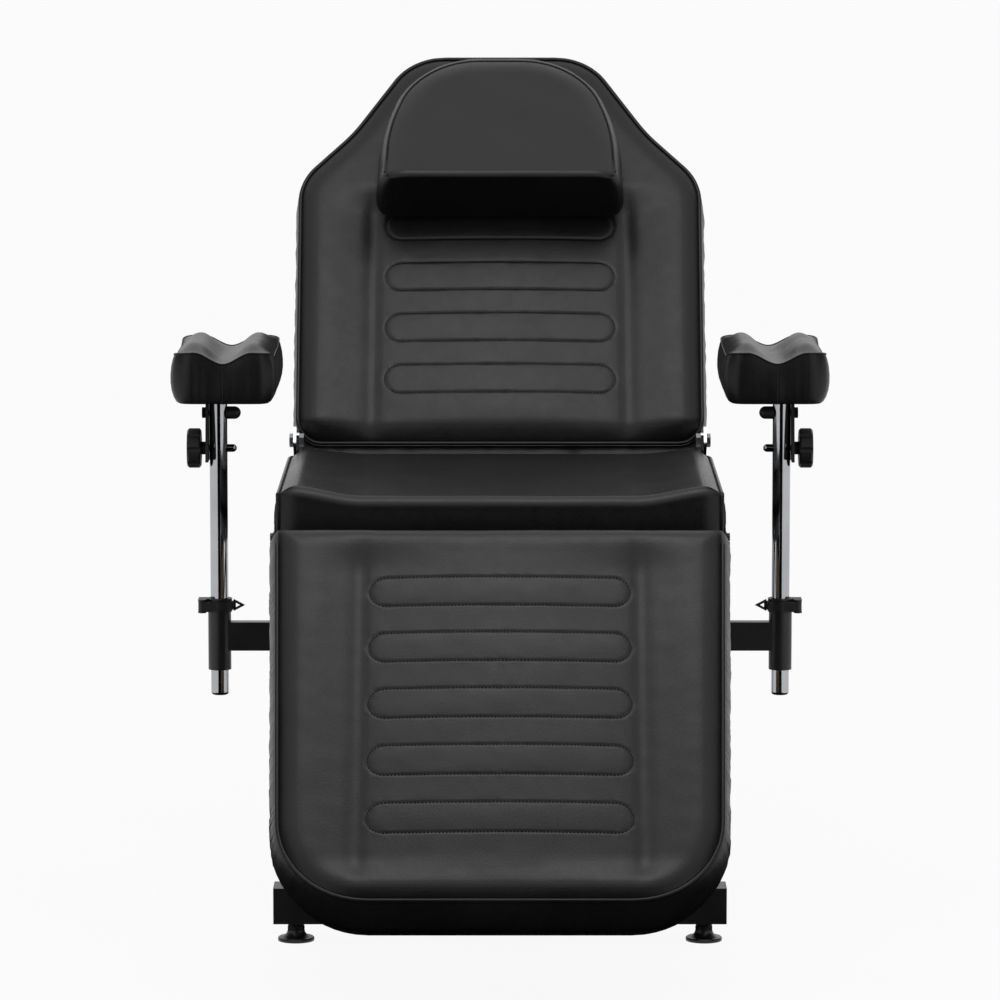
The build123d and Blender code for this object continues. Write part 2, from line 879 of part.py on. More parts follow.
def leg_members():
    """Cross members of the leg rest and the lug of its gas strut."""
    inner = swing_outer - frame_tube
    z = (leg_frame_bottom, leg_board_bottom)
    pieces = [member(place, inner, z) for place in leg_member_places]
    pieces += lug_pair(leg_strut_x, *leg_strut_local, leg_frame_bottom)
    pieces += lever_ears(leg_member_places[-1], leg_frame_bottom)
    return leg_place * turned(group(*pieces))


def leg_strut_pin():
    return leg_place * turned(strut_pin(leg_strut_x, *leg_strut_local))


def leg_hinge_plates():
    x = (hinge_arm_inner, hinge_arm_inner + plate_thickness)
    z = (leg_frame_bottom, leg_board_bottom)
    plate = block(x, (0, leg_hinge_end), z)
    plate += bar(x, 0, 0, frame_tube / 2)
    plate -= bore(x, 0, 0, pivot_radius + running_fit)
    return leg_place * turned(group(*both(plate)))


# Gas struts
def strut_case():
    """The cylinder of a gas strut along +Z, its eye at the origin."""
    low = strut_eye_radius + strut_neck
    floor = low + strut_case_floor
    mouth = strut_case_end - strut_gland
    eye = (-strut_eye_width / 2, strut_eye_width / 2)
    case = upright(0, 0, low, strut_case_end, strut_case_radius)
    case += upright(0, 0, 0, floor, strut_neck_radius)
    case += bar(eye, 0, 0, strut_eye_radius)
    case -= upright(0, 0, floor, mouth, strut_case_bore)
    case -= upright(0, 0, mouth - overrun, strut_case_end + overrun, strut_rod_radius + running_fit)
    return case - bore(eye, 0, 0, strut_pin_radius + running_fit)


def strut_rod(longest):
    """The rod of a gas strut along +Z, its eye at the origin and its piston at the far end."""
    length = longest - strut_case_end + strut_rod_overlap
    eye = (-strut_eye_width / 2, strut_eye_width / 2)
    shape = upright(0, 0, 0, length, strut_rod_radius)
    shape += bar(eye, 0, 0, strut_eye_radius)
    shape += upright(0, 0, length - strut_piston_height, length, strut_piston_radius)
    return shape - bore(eye, 0, 0, strut_pin_radius + running_fit)


def strut_span(radius, angle):
    """The distance between a strut's two pins when its pivot's two arms stand at an angle."""
    return 2 * radius * math.sin(math.radians(angle) / 2)


back_strut_flat_angle = back_strut_back_angle - back_strut_seat_angle
leg_strut_flat_angle = leg_strut_leg_angle - leg_strut_seat_angle
back_strut_longest = strut_span(back_strut_radius, back_strut_flat_angle + back_max)
leg_strut_longest = strut_span(leg_strut_radius, full_turn - leg_strut_flat_angle)
back_strut_end = polar(back_strut_radius, back_strut_back_angle + back_angle)
leg_strut_end = polar(leg_strut_radius, leg_strut_leg_angle + leg_angle)


def along(x, start, end):
    """The place at a start point in the strut's plane, its Z axis pointing at an end point."""
    direction = (0, end[0] - start[0], end[1] - start[1])
    return Plane(origin=(x, *start), x_dir=(1, 0, 0), z_dir=direction)


back_strut_seat = (back_strut_seat_y, back_strut_seat_z)
back_strut_back = (back_strut_end[0], back_pivot_z + back_strut_end[1])
leg_strut_seat = (leg_strut_seat_y, leg_strut_seat_z)
leg_strut_leg = (leg_pivot_y + leg_strut_end[0], leg_pivot_z + leg_strut_end[1])


# Arm rests, drawn on the +X side
def arm_bracket():
    """A drop tube bolted to the rail's outer face and a bar out to the socket."""
    y = (arm_y - bracket_depth / 2, arm_y + bracket_depth / 2)
    drop_x = (rail_outer, rail_outer + bracket_drop_width)
    drop = tube(drop_x, y, (bracket_bottom, board_bottom), bracket_wall, "Z")
    z = (bracket_bottom, bracket_bottom + bracket_width)
    outrigger = tube((drop_x[1], arm_x), y, z, bracket_wall, "X")
    outrigger -= upright(arm_x, arm_y, socket_bottom, socket_top, socket_radius)
    for height in bracket_bolt_heights():
        drop -= bore(drop_x, arm_y, height, bracket_bolt_radius)
    return drop, outrigger


def bracket_bolt_heights():
    middle = (rail_bottom + board_bottom) / 2
    return (middle - bracket_bolt_pitch / 2, middle + bracket_bolt_pitch / 2)


def arm_socket():
    shell = upright(arm_x, arm_y, socket_bottom, socket_top, socket_radius)
    low, high = socket_bottom - overrun, socket_top + overrun
    return shell - upright(arm_x, arm_y, low, high, post_radius + slide_fit)


def bracket_bolts():
    outer = rail_outer + bracket_drop_width
    bolts = []
    for z in bracket_bolt_heights():
        bolt = bar((rail_outer, outer), arm_y, z, bracket_bolt_radius)
        bolt += hexagon((outer, arm_y, z), (outer + bracket_bolt_head, arm_y, z), bracket_bolt_flats)
        bolts.append(bolt)
    return bolts


def seat_fasteners():
    """The arm brackets' bolts and the struts' pins under the seat."""
    pieces = []
    for bolt in bracket_bolts():
        pieces += both(bolt)
    pieces.append(strut_pin(back_strut_x, *back_strut_seat))
    pieces.append(strut_pin(leg_strut_x, *leg_strut_seat))
    return group(*pieces)


collar_top = collar_bottom + collar_height
lever_pin_x = arm_x + collar_radius + ear_length / 2
lever_pin_y = arm_y - ear_half - lever_hub_gap - lever_hub_radius
strap_outer_radius = strap_inner_radius + strap_thickness


def arm_collar():
    """A split collar on the socket's mouth, its two ears, their cross pin and the lever's pin."""
    low = collar_bottom - overrun
    high = collar_top + overrun
    reach = arm_x + collar_radius + ear_length
    ring = upright(arm_x, arm_y, collar_bottom, collar_top, collar_radius)
    ears_y = (arm_y - ear_half, arm_y + ear_half)
    ring += block((arm_x + post_radius, reach), ears_y, (collar_bottom, collar_top))
    tab_y = (lever_pin_y, arm_y - ear_half)
    for z in (collar_bottom, collar_top - ear_tab_thickness):
        tab = block((lever_pin_x - lever_hub_radius, reach), tab_y, (z, z + ear_tab_thickness))
        tab += upright(lever_pin_x, lever_pin_y, z, z + ear_tab_thickness, lever_hub_radius)
        ring += tab
    ring -= upright(arm_x, arm_y, low, high, post_radius + running_fit)
    half = collar_slot / 2
    ring -= block((arm_x, reach + overrun), (arm_y - half, arm_y + half), (low, high))
    middle = (collar_top + collar_bottom) / 2
    cross_pin = rod(
        (lever_pin_x, arm_y - ear_half, middle),
        (lever_pin_x, arm_y + ear_half, middle),
        clamp_pin_radius,
    )
    lever_pin = upright(lever_pin_x, lever_pin_y, collar_bottom, collar_top, clamp_pin_radius)
    return group(ring - cross_pin - lever_pin, cross_pin, lever_pin)


def arm_lever():
    """A quick-release strap round the collar's front that ends in an open loop on the inner side."""
    low = collar_bottom + (collar_height - strap_height) / 2
    high = low + strap_height
    span = (low - overrun, high + overrun)
    ring = upright(arm_x, arm_y, low, high, strap_outer_radius)
    reach = strap_outer_radius + overrun
    ring &= block((arm_x - reach, arm_x + strap_outer_radius / 2), (arm_y - reach, arm_y), span)
    front = lever_pin_y - lever_hub_radius
    ring += block((arm_x, lever_pin_x), (front, front + strap_thickness), (low, high))
    ring -= upright(arm_x, arm_y, *span, strap_inner_radius)
    hub = upright(lever_pin_x, lever_pin_y, low, high, lever_hub_radius)
    hub = ring + hub - upright(lever_pin_x, lever_pin_y, *span, clamp_pin_radius + running_fit)
    return hub + lever_loop()


def lever_loop():
    """The triangular finger loop at the strap's free end."""
    middle = (collar_bottom + collar_top) / 2
    start = arm_x - strap_inner_radius - strap_thickness / 2
    corners = [
        (start, middle - strap_loop_half),
        (start, middle + strap_loop_half),
        (start - strap_loop_length, middle),
    ]
    front = Plane(origin=(0, arm_y - strap_thickness, 0), x_dir=(1, 0, 0), z_dir=(0, -1, 0))
    outer = make_face(Polyline(*corners, close=True))
    inner = offset(outer, amount=-strap_loop_wire, kind=Kind.INTERSECTION)
    return extrude(front * (outer - inner), amount=strap_thickness / 2, both=True)


post_top = tilt_pivot_z + post_head_over


def arm_post():
    """A chromed tube with a closed foot and two cross holes near its top."""
    inner = post_radius - post_wall
    shell = upright(arm_x, arm_y, post_bottom, post_top, post_radius)
    shell = fillet(shell.edges().filter_by(GeomType.CIRCLE).sort_by(Axis.Z)[0], post_foot_round)
    shell -= upright(arm_x, arm_y, post_bottom + post_foot_round, post_top + overrun, inner)
    width = (arm_x - post_radius, arm_x + post_radius)
    for z, radius in ((tilt_pivot_z, head_bolt_radius), (lock_z, head_bolt_radius + running_fit)):
        shell -= bore(width, arm_y, z, radius)
    return shell


def cap_nut(x, z, radius, length):
    """A domed nut whose flat side meets the post at x and whose dome points inwards."""
    straight = length - radius
    nut = bar((x, x - straight), arm_y, z, radius)
    return nut + Pos(x - straight, arm_y, z) * Sphere(radius)


def arm_bolts():
    """The tilt bolt with its capped nut, and the nut that the knob's stud screws into."""
    inner = arm_x - post_radius
    outer = arm_x + post_radius + body_gap + tilt_plate_thickness + body_gap
    head = ((outer, arm_y, tilt_pivot_z), (outer + head_bolt_height, arm_y, tilt_pivot_z))
    bolt = bar((inner, outer), arm_y, tilt_pivot_z, head_bolt_radius) + hexagon(*head, head_bolt_flats)
    bolt += cap_nut(inner, tilt_pivot_z, cap_nut_radius, cap_nut_length)
    nut = cap_nut(inner, lock_z, small_nut_radius, small_nut_length)
    hole_x = (inner + overrun, knob_stud_end - body_gap)
    nut -= bar(hole_x, arm_y, lock_z, head_bolt_radius + running_fit)
    return group(bolt, nut)


knob_stud_end = arm_x - post_radius - small_nut_length + small_nut_radius


def tilt_plate():
    """The upright plate beside the post with its arc slot, and the flange under the pad."""
    inner = arm_x + post_radius + body_gap
    x = (inner, inner + tilt_plate_thickness)
    reach = tilt_pivot_z - lock_z
    low = tilt_pivot_z - tilt_plate_bottom
    spread = tilt_limit + math.degrees(math.asin(2 * head_bolt_radius / reach))
    side = Plane(origin=(x[0], arm_y, tilt_pivot_z), x_dir=(0, 1, 0), z_dir=(1, 0, 0))
    foot = low * math.sin(math.radians(spread))
    top = arm_pad_bottom - tilt_pivot_z
    corners = [(-foot, -low), (foot, -low), (tilt_plate_top_half, top), (-tilt_plate_top_half, top)]
    plate = extrude(side * make_face(Polyline(*corners, close=True)), amount=tilt_plate_thickness)
    flange = block(
        (x[0], x[0] + tilt_flange_width),
        (arm_y - tilt_flange_half, arm_y + tilt_flange_half),
        (arm_pad_bottom - tilt_plate_thickness, arm_pad_bottom),
    )
    plate += flange
    slot = SlotArc(arc_below(reach), 2 * (head_bolt_radius + slide_fit))
    plate -= extrude(side * slot, amount=tilt_plate_thickness)
    return plate - bore(x, arm_y, tilt_pivot_z, head_bolt_radius + running_fit)


def arc_below(radius):
    """The arc, below the tilt pivot, that the lock stud runs along."""
    return CenterArc((0, 0), radius, -full_turn / 4 - tilt_limit, 2 * tilt_limit)


def arm_knob():
    """A lobed hand knob with its hub and its stud through the slot and the post."""
    hub_start = arm_x + post_radius + body_gap + tilt_plate_thickness + body_gap
    x = (knob_face_x, knob_face_x + knob_thickness)
    disc = bar(x, arm_y, lock_z, knob_radius)
    disc = chamfer(disc.edges().filter_by(GeomType.CIRCLE), knob_edge)
    for i in range(knob_lobes):
        y, z = polar(knob_radius + knob_notch_radius / 2, i * full_turn / knob_lobes)
        disc -= bore(x, arm_y + y, lock_z + z, knob_notch_radius)
    hub = bar((hub_start, knob_face_x), arm_y, lock_z, knob_hub_radius)
    stud = bar((knob_stud_end, hub_start), arm_y, lock_z, head_bolt_radius)
    return disc + hub + stud


def arm_board():
    shape = RectangleRounded(2 * arm_board_half_width, 2 * arm_board_half_length, arm_board_corner)
    return Pos(arm_pad_x, arm_y, arm_pad_bottom) * extrude(shape, amount=arm_board_thickness)


def saddle(scale, place):
    """The pad's cross-section: two humps with a valley between them, as arcs."""
    width = arm_pad_half_width * scale
    height = arm_pad_height * scale
    sink = arm_pad_height - height
    points = [(arm_pad_base_half * scale, 0)]
    points += [(x * width, z * height) for x, z in arm_pad_outline_shares]
    valley = (0, arm_pad_valley - sink)
    edges = [ThreePointArc(points[-1], valley, (-points[-1][0], points[-1][1]))]
    for side in (1, -1):
        base, flank, edge, hump, slope = [(side * x, z) for x, z in points]
        edges.append(ThreePointArc(base, flank, edge))
        edges.append(ThreePointArc(edge, hump, slope))
    edges.append(Line((-points[0][0], 0), points[0]))
    low = arm_pad_bottom + arm_board_thickness
    across = Plane(origin=(arm_pad_x, arm_y + place, low), x_dir=(1, 0, 0), z_dir=(0, -1, 0))
    return across * make_face(edges)


def arm_cushion():
    rows = zip(arm_pad_size_shares, arm_pad_place_shares)
    return loft([saddle(size, place * arm_pad_half_length) for size, place in rows], ruled=True)


# Release levers behind the back and under the leg rest
def release_lever(place, bottom):
    """A lever on a pin under a cross member, with a grip at its free end."""
    z = bottom - lever_drop
    end = place + lever_bar_length
    half = lever_bar_thickness / 2
    wide = lever_bar_half + lever_bar_thickness
    width = (-lever_bar_half, lever_bar_half)
    strip = block(width, (place, end), (z - half, z + half))
    boss = bar(width, place, z, lever_boss_radius)
    grip_half = lever_grip_thickness / 2
    grip = block((-wide, wide), (end - lever_grip_length, end), (z - grip_half, z + grip_half))
    grip = fillet(grip.edges().filter_by(Axis.Y), least_corner)
    return strip + boss + grip - bore(width, place, z, lever_pin_radius + running_fit)


def lever_ears(place, bottom):
    """Two ears and the pin that carry a release lever under a cross member."""
    z = bottom - lever_drop
    inner = lever_bar_half + body_gap
    outer = inner + plate_thickness
    pin = bar((-outer, outer), place, z, lever_pin_radius)
    pieces = [pin]
    for side in (1, -1):
        spans = (side * inner, side * outer)
        y = (place - lever_boss_radius, place + lever_boss_radius)
        pieces.append(block(spans, y, (z - lever_boss_radius, bottom)) - pin)
    return pieces


def back_release_lever():
    return back_place * release_lever(back_member_places[-1], back_frame_bottom)


def leg_release_lever():
    return leg_place * turned(release_lever(leg_member_places[-1], leg_frame_bottom))


def struts():
    """Both gas struts, each as its case on the seat and its rod on the part that it lifts."""
    back_case = along(back_strut_x, back_strut_seat, back_strut_back) * strut_case()
    back_rod = along(back_strut_x, back_strut_back, back_strut_seat) * strut_rod(back_strut_longest)
    leg_case = along(leg_strut_x, leg_strut_seat, leg_strut_leg) * strut_case()
    leg_rod = along(leg_strut_x, leg_strut_leg, leg_strut_seat) * strut_rod(leg_strut_longest)
    return {
        "back_strut_case": back_case,
        "back_strut_rod": back_rod,
        "leg_strut_case": leg_case,
        "leg_strut_rod": leg_rod,
    }


def feet():
    places = {"front": front_beam_y, "rear": rear_beam_y}
    return {
        f"foot_{end}_{side}": levelling_foot(sign * foot_x, y)
        for end, y in places.items()
        for side, sign in (("left", 1), ("right", -1))
    }


def arm_rests():
    """The moving pieces of both arm rests, the right-hand ones mirrored from the left."""
    left = {
        "arm_collar": arm_collar(),
        "arm_lever": arm_lever(),
        "arm_post": arm_post(),
        "arm_bolts": arm_bolts(),
        "arm_tilt_plate": tilt_plate(),
        "arm_knob": arm_knob(),
        "arm_board": arm_board(),
        "arm_cushion": arm_cushion(),
    }
    sides = {}
    for name, shape in left.items():
        sides[f"{name}_left"] = shape
        sides[f"{name}_right"] = mirror(shape, about=Plane.YZ)
    return sides


def arm_brackets():
    drop, outrigger = arm_bracket()
    return group(*both(drop), *both(outrigger))


nodes = {
    "base_front_beam": cross_beam(front_beam_y),
    "base_rear_beam": cross_beam(rear_beam_y),
    "base_rails": base_rails(),
    "base_end_caps": end_caps(),
    "base_fasteners": base_fasteners(),
    "column_plate": column_plate(),
    "column_case": column_case(),
    "pump_body": pump_body(),
    "pedal_arm": pedal_arm(),
    "pedal_tread": pedal_tread(),
    **feet(),
    "lift_ram": lift_ram(),
    "lift_plate": lift_plate(),
    "seat_rails": seat_rails(),
    "seat_members": seat_members(),
    "seat_board": seat_board(),
    "seat_cushion": seat_cushion(),
    "seat_hinge_plates": seat_hinge_plates(),
    "hinge_bolts": hinge_bolts(),
    "seat_fasteners": seat_fasteners(),
    "arm_brackets": arm_brackets(),
    "arm_sockets": group(*both(arm_socket())),
    "back_side_tubes": back_side_tubes(),
    "back_members": back_members(),
    "back_hinge_plates": back_hinge_plates(),
    "back_strut_pin": back_strut_pin(),
    "back_board": back_board(),
    "back_cushion": back_cushion(),
    "back_release_lever": back_release_lever(),
    "head_pillow": head_pillow(),
    "leg_side_tubes": leg_side_tubes(),
    "leg_members": leg_members(),
    "leg_hinge_plates": leg_hinge_plates(),
    "leg_strut_pin": leg_strut_pin(),
    "leg_board": leg_board(),
    "leg_cushion": leg_cushion(),
    "leg_release_lever": leg_release_lever(),
    **struts(),
    **arm_rests(),
}

# The origin is under the middle of the whole chair
boxes = [shape.bounding_box() for shape in nodes.values()]
origin_y = (min(box.min.Y for box in boxes) + max(box.max.Y for box in boxes)) / 2

for name, shape in nodes.items():
    moved = [Pos(0, -origin_y, 0) * solid for solid in shape.solids()]
    export_step(Compound(moved), f"parts/{name}.step")
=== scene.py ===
import json
import math
import random

import bmesh
import bpy
import numpy as np
from mathutils import Matrix, Vector


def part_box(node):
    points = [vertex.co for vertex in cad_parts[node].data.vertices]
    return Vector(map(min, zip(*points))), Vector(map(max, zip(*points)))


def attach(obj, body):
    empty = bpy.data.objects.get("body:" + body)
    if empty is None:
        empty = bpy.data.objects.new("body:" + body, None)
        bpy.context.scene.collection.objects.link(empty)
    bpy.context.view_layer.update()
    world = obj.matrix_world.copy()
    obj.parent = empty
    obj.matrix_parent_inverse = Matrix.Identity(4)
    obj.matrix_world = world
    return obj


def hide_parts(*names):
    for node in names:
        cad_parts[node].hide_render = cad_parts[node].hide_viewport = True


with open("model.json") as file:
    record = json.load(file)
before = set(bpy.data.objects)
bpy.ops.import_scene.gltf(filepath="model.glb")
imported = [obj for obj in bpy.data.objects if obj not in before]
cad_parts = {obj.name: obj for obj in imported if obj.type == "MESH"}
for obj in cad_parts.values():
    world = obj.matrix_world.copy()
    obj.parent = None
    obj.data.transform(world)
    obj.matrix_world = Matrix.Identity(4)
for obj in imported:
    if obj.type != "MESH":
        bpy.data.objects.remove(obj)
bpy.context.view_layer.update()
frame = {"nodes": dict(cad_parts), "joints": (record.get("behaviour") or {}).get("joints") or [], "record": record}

nodes = frame["nodes"]
joints = {joint["name"]: joint for joint in frame["joints"]}
mm = 0.001
rearShift = joints["back_recline"]["pos_m"][1]  # the back's pivot lies this far behind the origin


def deselectAll():
    for thing in bpy.context.selected_objects:
        thing.select_set(False)


deselectAll()


# Shader helpers
def newMaterial(name):
    material = bpy.data.materials.new(name)
    material.use_nodes = True
    tree = material.node_tree
    return material, tree, tree.nodes["Principled BSDF"]


def addNode(tree, kind, **values):
    node = tree.nodes.new(kind)
    for key, value in values.items():
        setattr(node, key, value)
    return node


def setInputs(node, **values):
    for key, value in values.items():
        node.inputs[key.replace("_", " ")].default_value = value


def newGroup(name, floats, outputs):
    group = bpy.data.node_groups.new(name, "ShaderNodeTree")
    group.interface.new_socket("Vector", in_out="INPUT", socket_type="NodeSocketVector")
    for key, value in floats.items():
        socket = group.interface.new_socket(key, in_out="INPUT", socket_type="NodeSocketFloat")
        socket.default_value = value
    for key in outputs:
        group.interface.new_socket(key, in_out="OUTPUT", socket_type="NodeSocketFloat")
    return group, group.nodes.new("NodeGroupInput"), group.nodes.new("NodeGroupOutput")


def mathNode(tree, operation, first, second):
    node = addNode(tree, "ShaderNodeMath", operation=operation)
    for socket, value in zip(node.inputs, (first, second)):
        if isinstance(value, (int, float)):
            socket.default_value = value
        else:
            tree.links.new(value, socket)
    return node.outputs[0]


# Fine pebbled grain with slow changes of tone and gloss, for the artificial leather
def makeLeatherGrain():
    group, given, out = newGroup("leatherGrain", {"Pebble": 900.0, "Patch": 9.0},
                                 ("Tone", "Gloss", "Height"))
    link = group.links.new
    pebble = addNode(group, "ShaderNodeTexVoronoi", feature="SMOOTH_F1")
    setInputs(pebble, Smoothness=0.7)
    link(given.outputs["Vector"], pebble.inputs["Vector"])
    link(given.outputs["Pebble"], pebble.inputs["Scale"])
    crinkle = addNode(group, "ShaderNodeTexNoise")
    setInputs(crinkle, Scale=260.0, Detail=5.0, Roughness=0.6)
    link(given.outputs["Vector"], crinkle.inputs["Vector"])
    patch = addNode(group, "ShaderNodeTexNoise")
    setInputs(patch, Detail=4.0, Roughness=0.6)
    link(given.outputs["Vector"], patch.inputs["Vector"])
    link(given.outputs["Patch"], patch.inputs["Scale"])
    scuff = addNode(group, "ShaderNodeTexNoise")
    setInputs(scuff, Scale=55.0, Detail=6.0, Roughness=0.7, Distortion=0.6)
    link(given.outputs["Vector"], scuff.inputs["Vector"])
    height = mathNode(group, "ADD", mathNode(group, "MULTIPLY", pebble.outputs["Distance"], 0.55),
                      mathNode(group, "MULTIPLY", crinkle.outputs["Fac"], 0.7))
    tone = mathNode(group, "ADD", mathNode(group, "MULTIPLY", patch.outputs["Fac"], 0.7),
                    mathNode(group, "MULTIPLY", scuff.outputs["Fac"], 0.3))
    gloss = mathNode(group, "ADD", mathNode(group, "MULTIPLY", patch.outputs["Fac"], 0.45),
                     mathNode(group, "MULTIPLY", scuff.outputs["Fac"], 0.55))
    link(tone, out.inputs["Tone"])
    link(gloss, out.inputs["Gloss"])
    link(height, out.inputs["Height"])
    return group


# Two sizes of noise: an even skin such as powder coat or moulded plastic, with slow smudges
def makeFineSkin():
    group, given, out = newGroup("fineSkin", {"Peel": 420.0, "Smudge": 14.0}, ("Peel", "Smudge"))
    link = group.links.new
    for key, detail in (("Peel", 3.0), ("Smudge", 5.0)):
        noise = addNode(group, "ShaderNodeTexNoise")
        setInputs(noise, Detail=detail, Roughness=0.55)
        link(given.outputs["Vector"], noise.inputs["Vector"])
        link(given.outputs[key], noise.inputs["Scale"])
        link(noise.outputs["Fac"], out.inputs[key])
    return group


leatherGrain = makeLeatherGrain()
fineSkin = makeFineSkin()


def useGroup(tree, group, **values):
    node = addNode(tree, "ShaderNodeGroup", node_tree=group)
    coords = addNode(tree, "ShaderNodeTexCoord")
    tree.links.new(coords.outputs["Object"], node.inputs["Vector"])
    setInputs(node, **values)
    return node


def spread(tree, value, low, high):
    node = addNode(tree, "ShaderNodeMapRange")
    setInputs(node, From_Min=0.3, From_Max=0.7, To_Min=low, To_Max=high)
    tree.links.new(value, node.inputs["Value"])
    return node.outputs["Result"]


def twoTone(tree, value, dark, light):
    ramp = addNode(tree, "ShaderNodeValToRGB")
    ramp.color_ramp.elements[0].position = 0.3
    ramp.color_ramp.elements[1].position = 0.7
    ramp.color_ramp.elements[0].color = (*dark, 1)
    ramp.color_ramp.elements[1].color = (*light, 1)
    tree.links.new(value, ramp.inputs["Fac"])
    return ramp.outputs["Color"]


def bumpNormal(tree, shader, height, strength, distance):
    bump = addNode(tree, "ShaderNodeBump")
    setInputs(bump, Strength=strength, Distance=distance)
    tree.links.new(height, bump.inputs["Height"])
    tree.links.new(bump.outputs["Normal"], shader.inputs["Normal"])


def leather(name, dark, light, gloss, pebble, bump):
    material, tree, shader = newMaterial(name)
    grain = useGroup(tree, leatherGrain, Pebble=pebble)
    tree.links.new(twoTone(tree, grain.outputs["Tone"], dark, light), shader.inputs["Base Color"])
    tree.links.new(spread(tree, grain.outputs["Gloss"], *gloss), shader.inputs["Roughness"])
    bumpNormal(tree, shader, grain.outputs["Height"], bump, 0.0003)
    setInputs(shader, Specular_IOR_Level=0.3)
    return material


def skinned(name, dark, light, gloss, peel, bump, metal=0.0, specular=0.5):
    material, tree, shader = newMaterial(name)
    skin = useGroup(tree, fineSkin, Peel=peel)
    tree.links.new(twoTone(tree, skin.outputs["Smudge"], dark, light), shader.inputs["Base Color"])
    tree.links.new(spread(tree, skin.outputs["Smudge"], *gloss), shader.inputs["Roughness"])
    bumpNormal(tree, shader, skin.outputs["Peel"], bump, 0.0002)
    setInputs(shader, Metallic=metal, Specular_IOR_Level=specular)
    return material


def plywood():
    material, tree, shader = newMaterial("birchPlywood")
    coords = addNode(tree, "ShaderNodeTexCoord")
    stretch = addNode(tree, "ShaderNodeMapping")
    stretch.inputs["Scale"].default_value = (3.0, 40.0, 40.0)
    tree.links.new(coords.outputs["Object"], stretch.inputs["Vector"])
    grain = addNode(tree, "ShaderNodeTexNoise")
    setInputs(grain, Scale=3.0, Detail=8.0, Roughness=0.65, Distortion=1.2)
    tree.links.new(stretch.outputs["Vector"], grain.inputs["Vector"])
    color = twoTone(tree, grain.outputs["Fac"], (0.3, 0.19, 0.1), (0.52, 0.38, 0.24))
    tree.links.new(color, shader.inputs["Base Color"])
    tree.links.new(spread(tree, grain.outputs["Fac"], 0.62, 0.78), shader.inputs["Roughness"])
    bumpNormal(tree, shader, grain.outputs["Fac"], 0.25, 0.0004)
    return material


finishes = {
    "upholstery": leather("blackLeather", dark=(0.0042, 0.0042, 0.0045), light=(0.0075, 0.0075, 0.008),
                          gloss=(0.32, 0.44), pebble=760.0, bump=0.6),
    "welt": leather("weltLeather", dark=(0.004, 0.004, 0.0042), light=(0.007, 0.007, 0.0074),
                    gloss=(0.32, 0.42), pebble=1300.0, bump=0.2),
    "thread": skinned("blackThread", dark=(0.004, 0.004, 0.004), light=(0.009, 0.009, 0.009),
                      gloss=(0.6, 0.75), peel=1500.0, bump=0.4, specular=0.3),
    "black_paint": skinned("powderCoat", dark=(0.007, 0.007, 0.0075), light=(0.011, 0.011, 0.0115),
                           gloss=(0.34, 0.46), peel=650.0, bump=0.2),
    "chrome": skinned("chromePlate", dark=(0.36, 0.37, 0.385), light=(0.45, 0.46, 0.475),
                      gloss=(0.07, 0.13), peel=60.0, bump=0.03, metal=1.0),
    "zinc": skinned("zincPlate", dark=(0.2, 0.205, 0.215), light=(0.3, 0.305, 0.315),
                    gloss=(0.24, 0.36), peel=240.0, bump=0.15, metal=1.0),
    "plywood": plywood(),
    "black_plastic": skinned("mouldedPlastic", dark=(0.008, 0.008, 0.0085), light=(0.012, 0.012, 0.0125),
                             gloss=(0.42, 0.55), peel=900.0, bump=0.35),
    "black_rubber": skinned("treadRubber", dark=(0.012, 0.012, 0.012), light=(0.018, 0.018, 0.018),
                            gloss=(0.7, 0.85), peel=500.0, bump=0.5, specular=0.3),
    "black_foot": skinned("footPlastic", dark=(0.008, 0.008, 0.0085), light=(0.012, 0.012, 0.0125),
                          gloss=(0.3, 0.42), peel=700.0, bump=0.2),
}
slotOf = {part["node"]: part["material_slot"] for part in frame["record"]["subparts"]}


def dress(piece, finish):
    piece.data.materials.clear()
    piece.data.materials.append(finishes[finish])


for name, node in nodes.items():
    dress(node, slotOf[name])
# Some pieces have another finish than the rest of their slot
for side in ("left", "right"):
    dress(nodes[f"arm_bolts_{side}"], "chrome")
    dress(nodes[f"arm_board_{side}"], "black_paint")
dress(nodes["hinge_bolts"], "zinc")
print("materials made and put on", len(nodes), "nodes")


# Mesh helpers
def smoothStep(value):
    value = np.clip(value, 0, 1)
    return value * value * (3 - 2 * value)


sharpFrom = 52  # degrees between faces from which an edge of a new piece stays sharp


def addPiece(name, vertices, faces, finish):
    mesh = bpy.data.meshes.new(name)
    mesh.from_pydata([tuple(map(float, v)) for v in vertices], [], faces)
    shell = bmesh.new()
    shell.from_mesh(mesh)
    bmesh.ops.remove_doubles(shell, verts=shell.verts, dist=1e-6)
    bmesh.ops.recalc_face_normals(shell, faces=shell.faces)
    shell.to_mesh(mesh)
    shell.free()
    piece = bpy.data.objects.new(name, mesh)
    bpy.context.scene.collection.objects.link(piece)
    deselectAll()
    bpy.context.view_layer.objects.active = piece
    piece.select_set(True)
    bpy.ops.object.shade_smooth_by_angle(angle=math.radians(sharpFrom))
    piece.select_set(False)
    dress(piece, finish)
    return piece


def gridFaces(rows, columns, start=0):
    faces = []
    for j in range(rows - 1):
        for i in range(columns - 1):
            a = start + j * columns + i
            faces.append((a, a + 1, a + 1 + columns, a + columns))
    return faces


def ringFaces(one, two, closed=True):
    count = len(one)
    return [
        (one[i], one[(i + 1) % count], two[(i + 1) % count], two[i])
        for i in range(count if closed else count - 1)
    ]


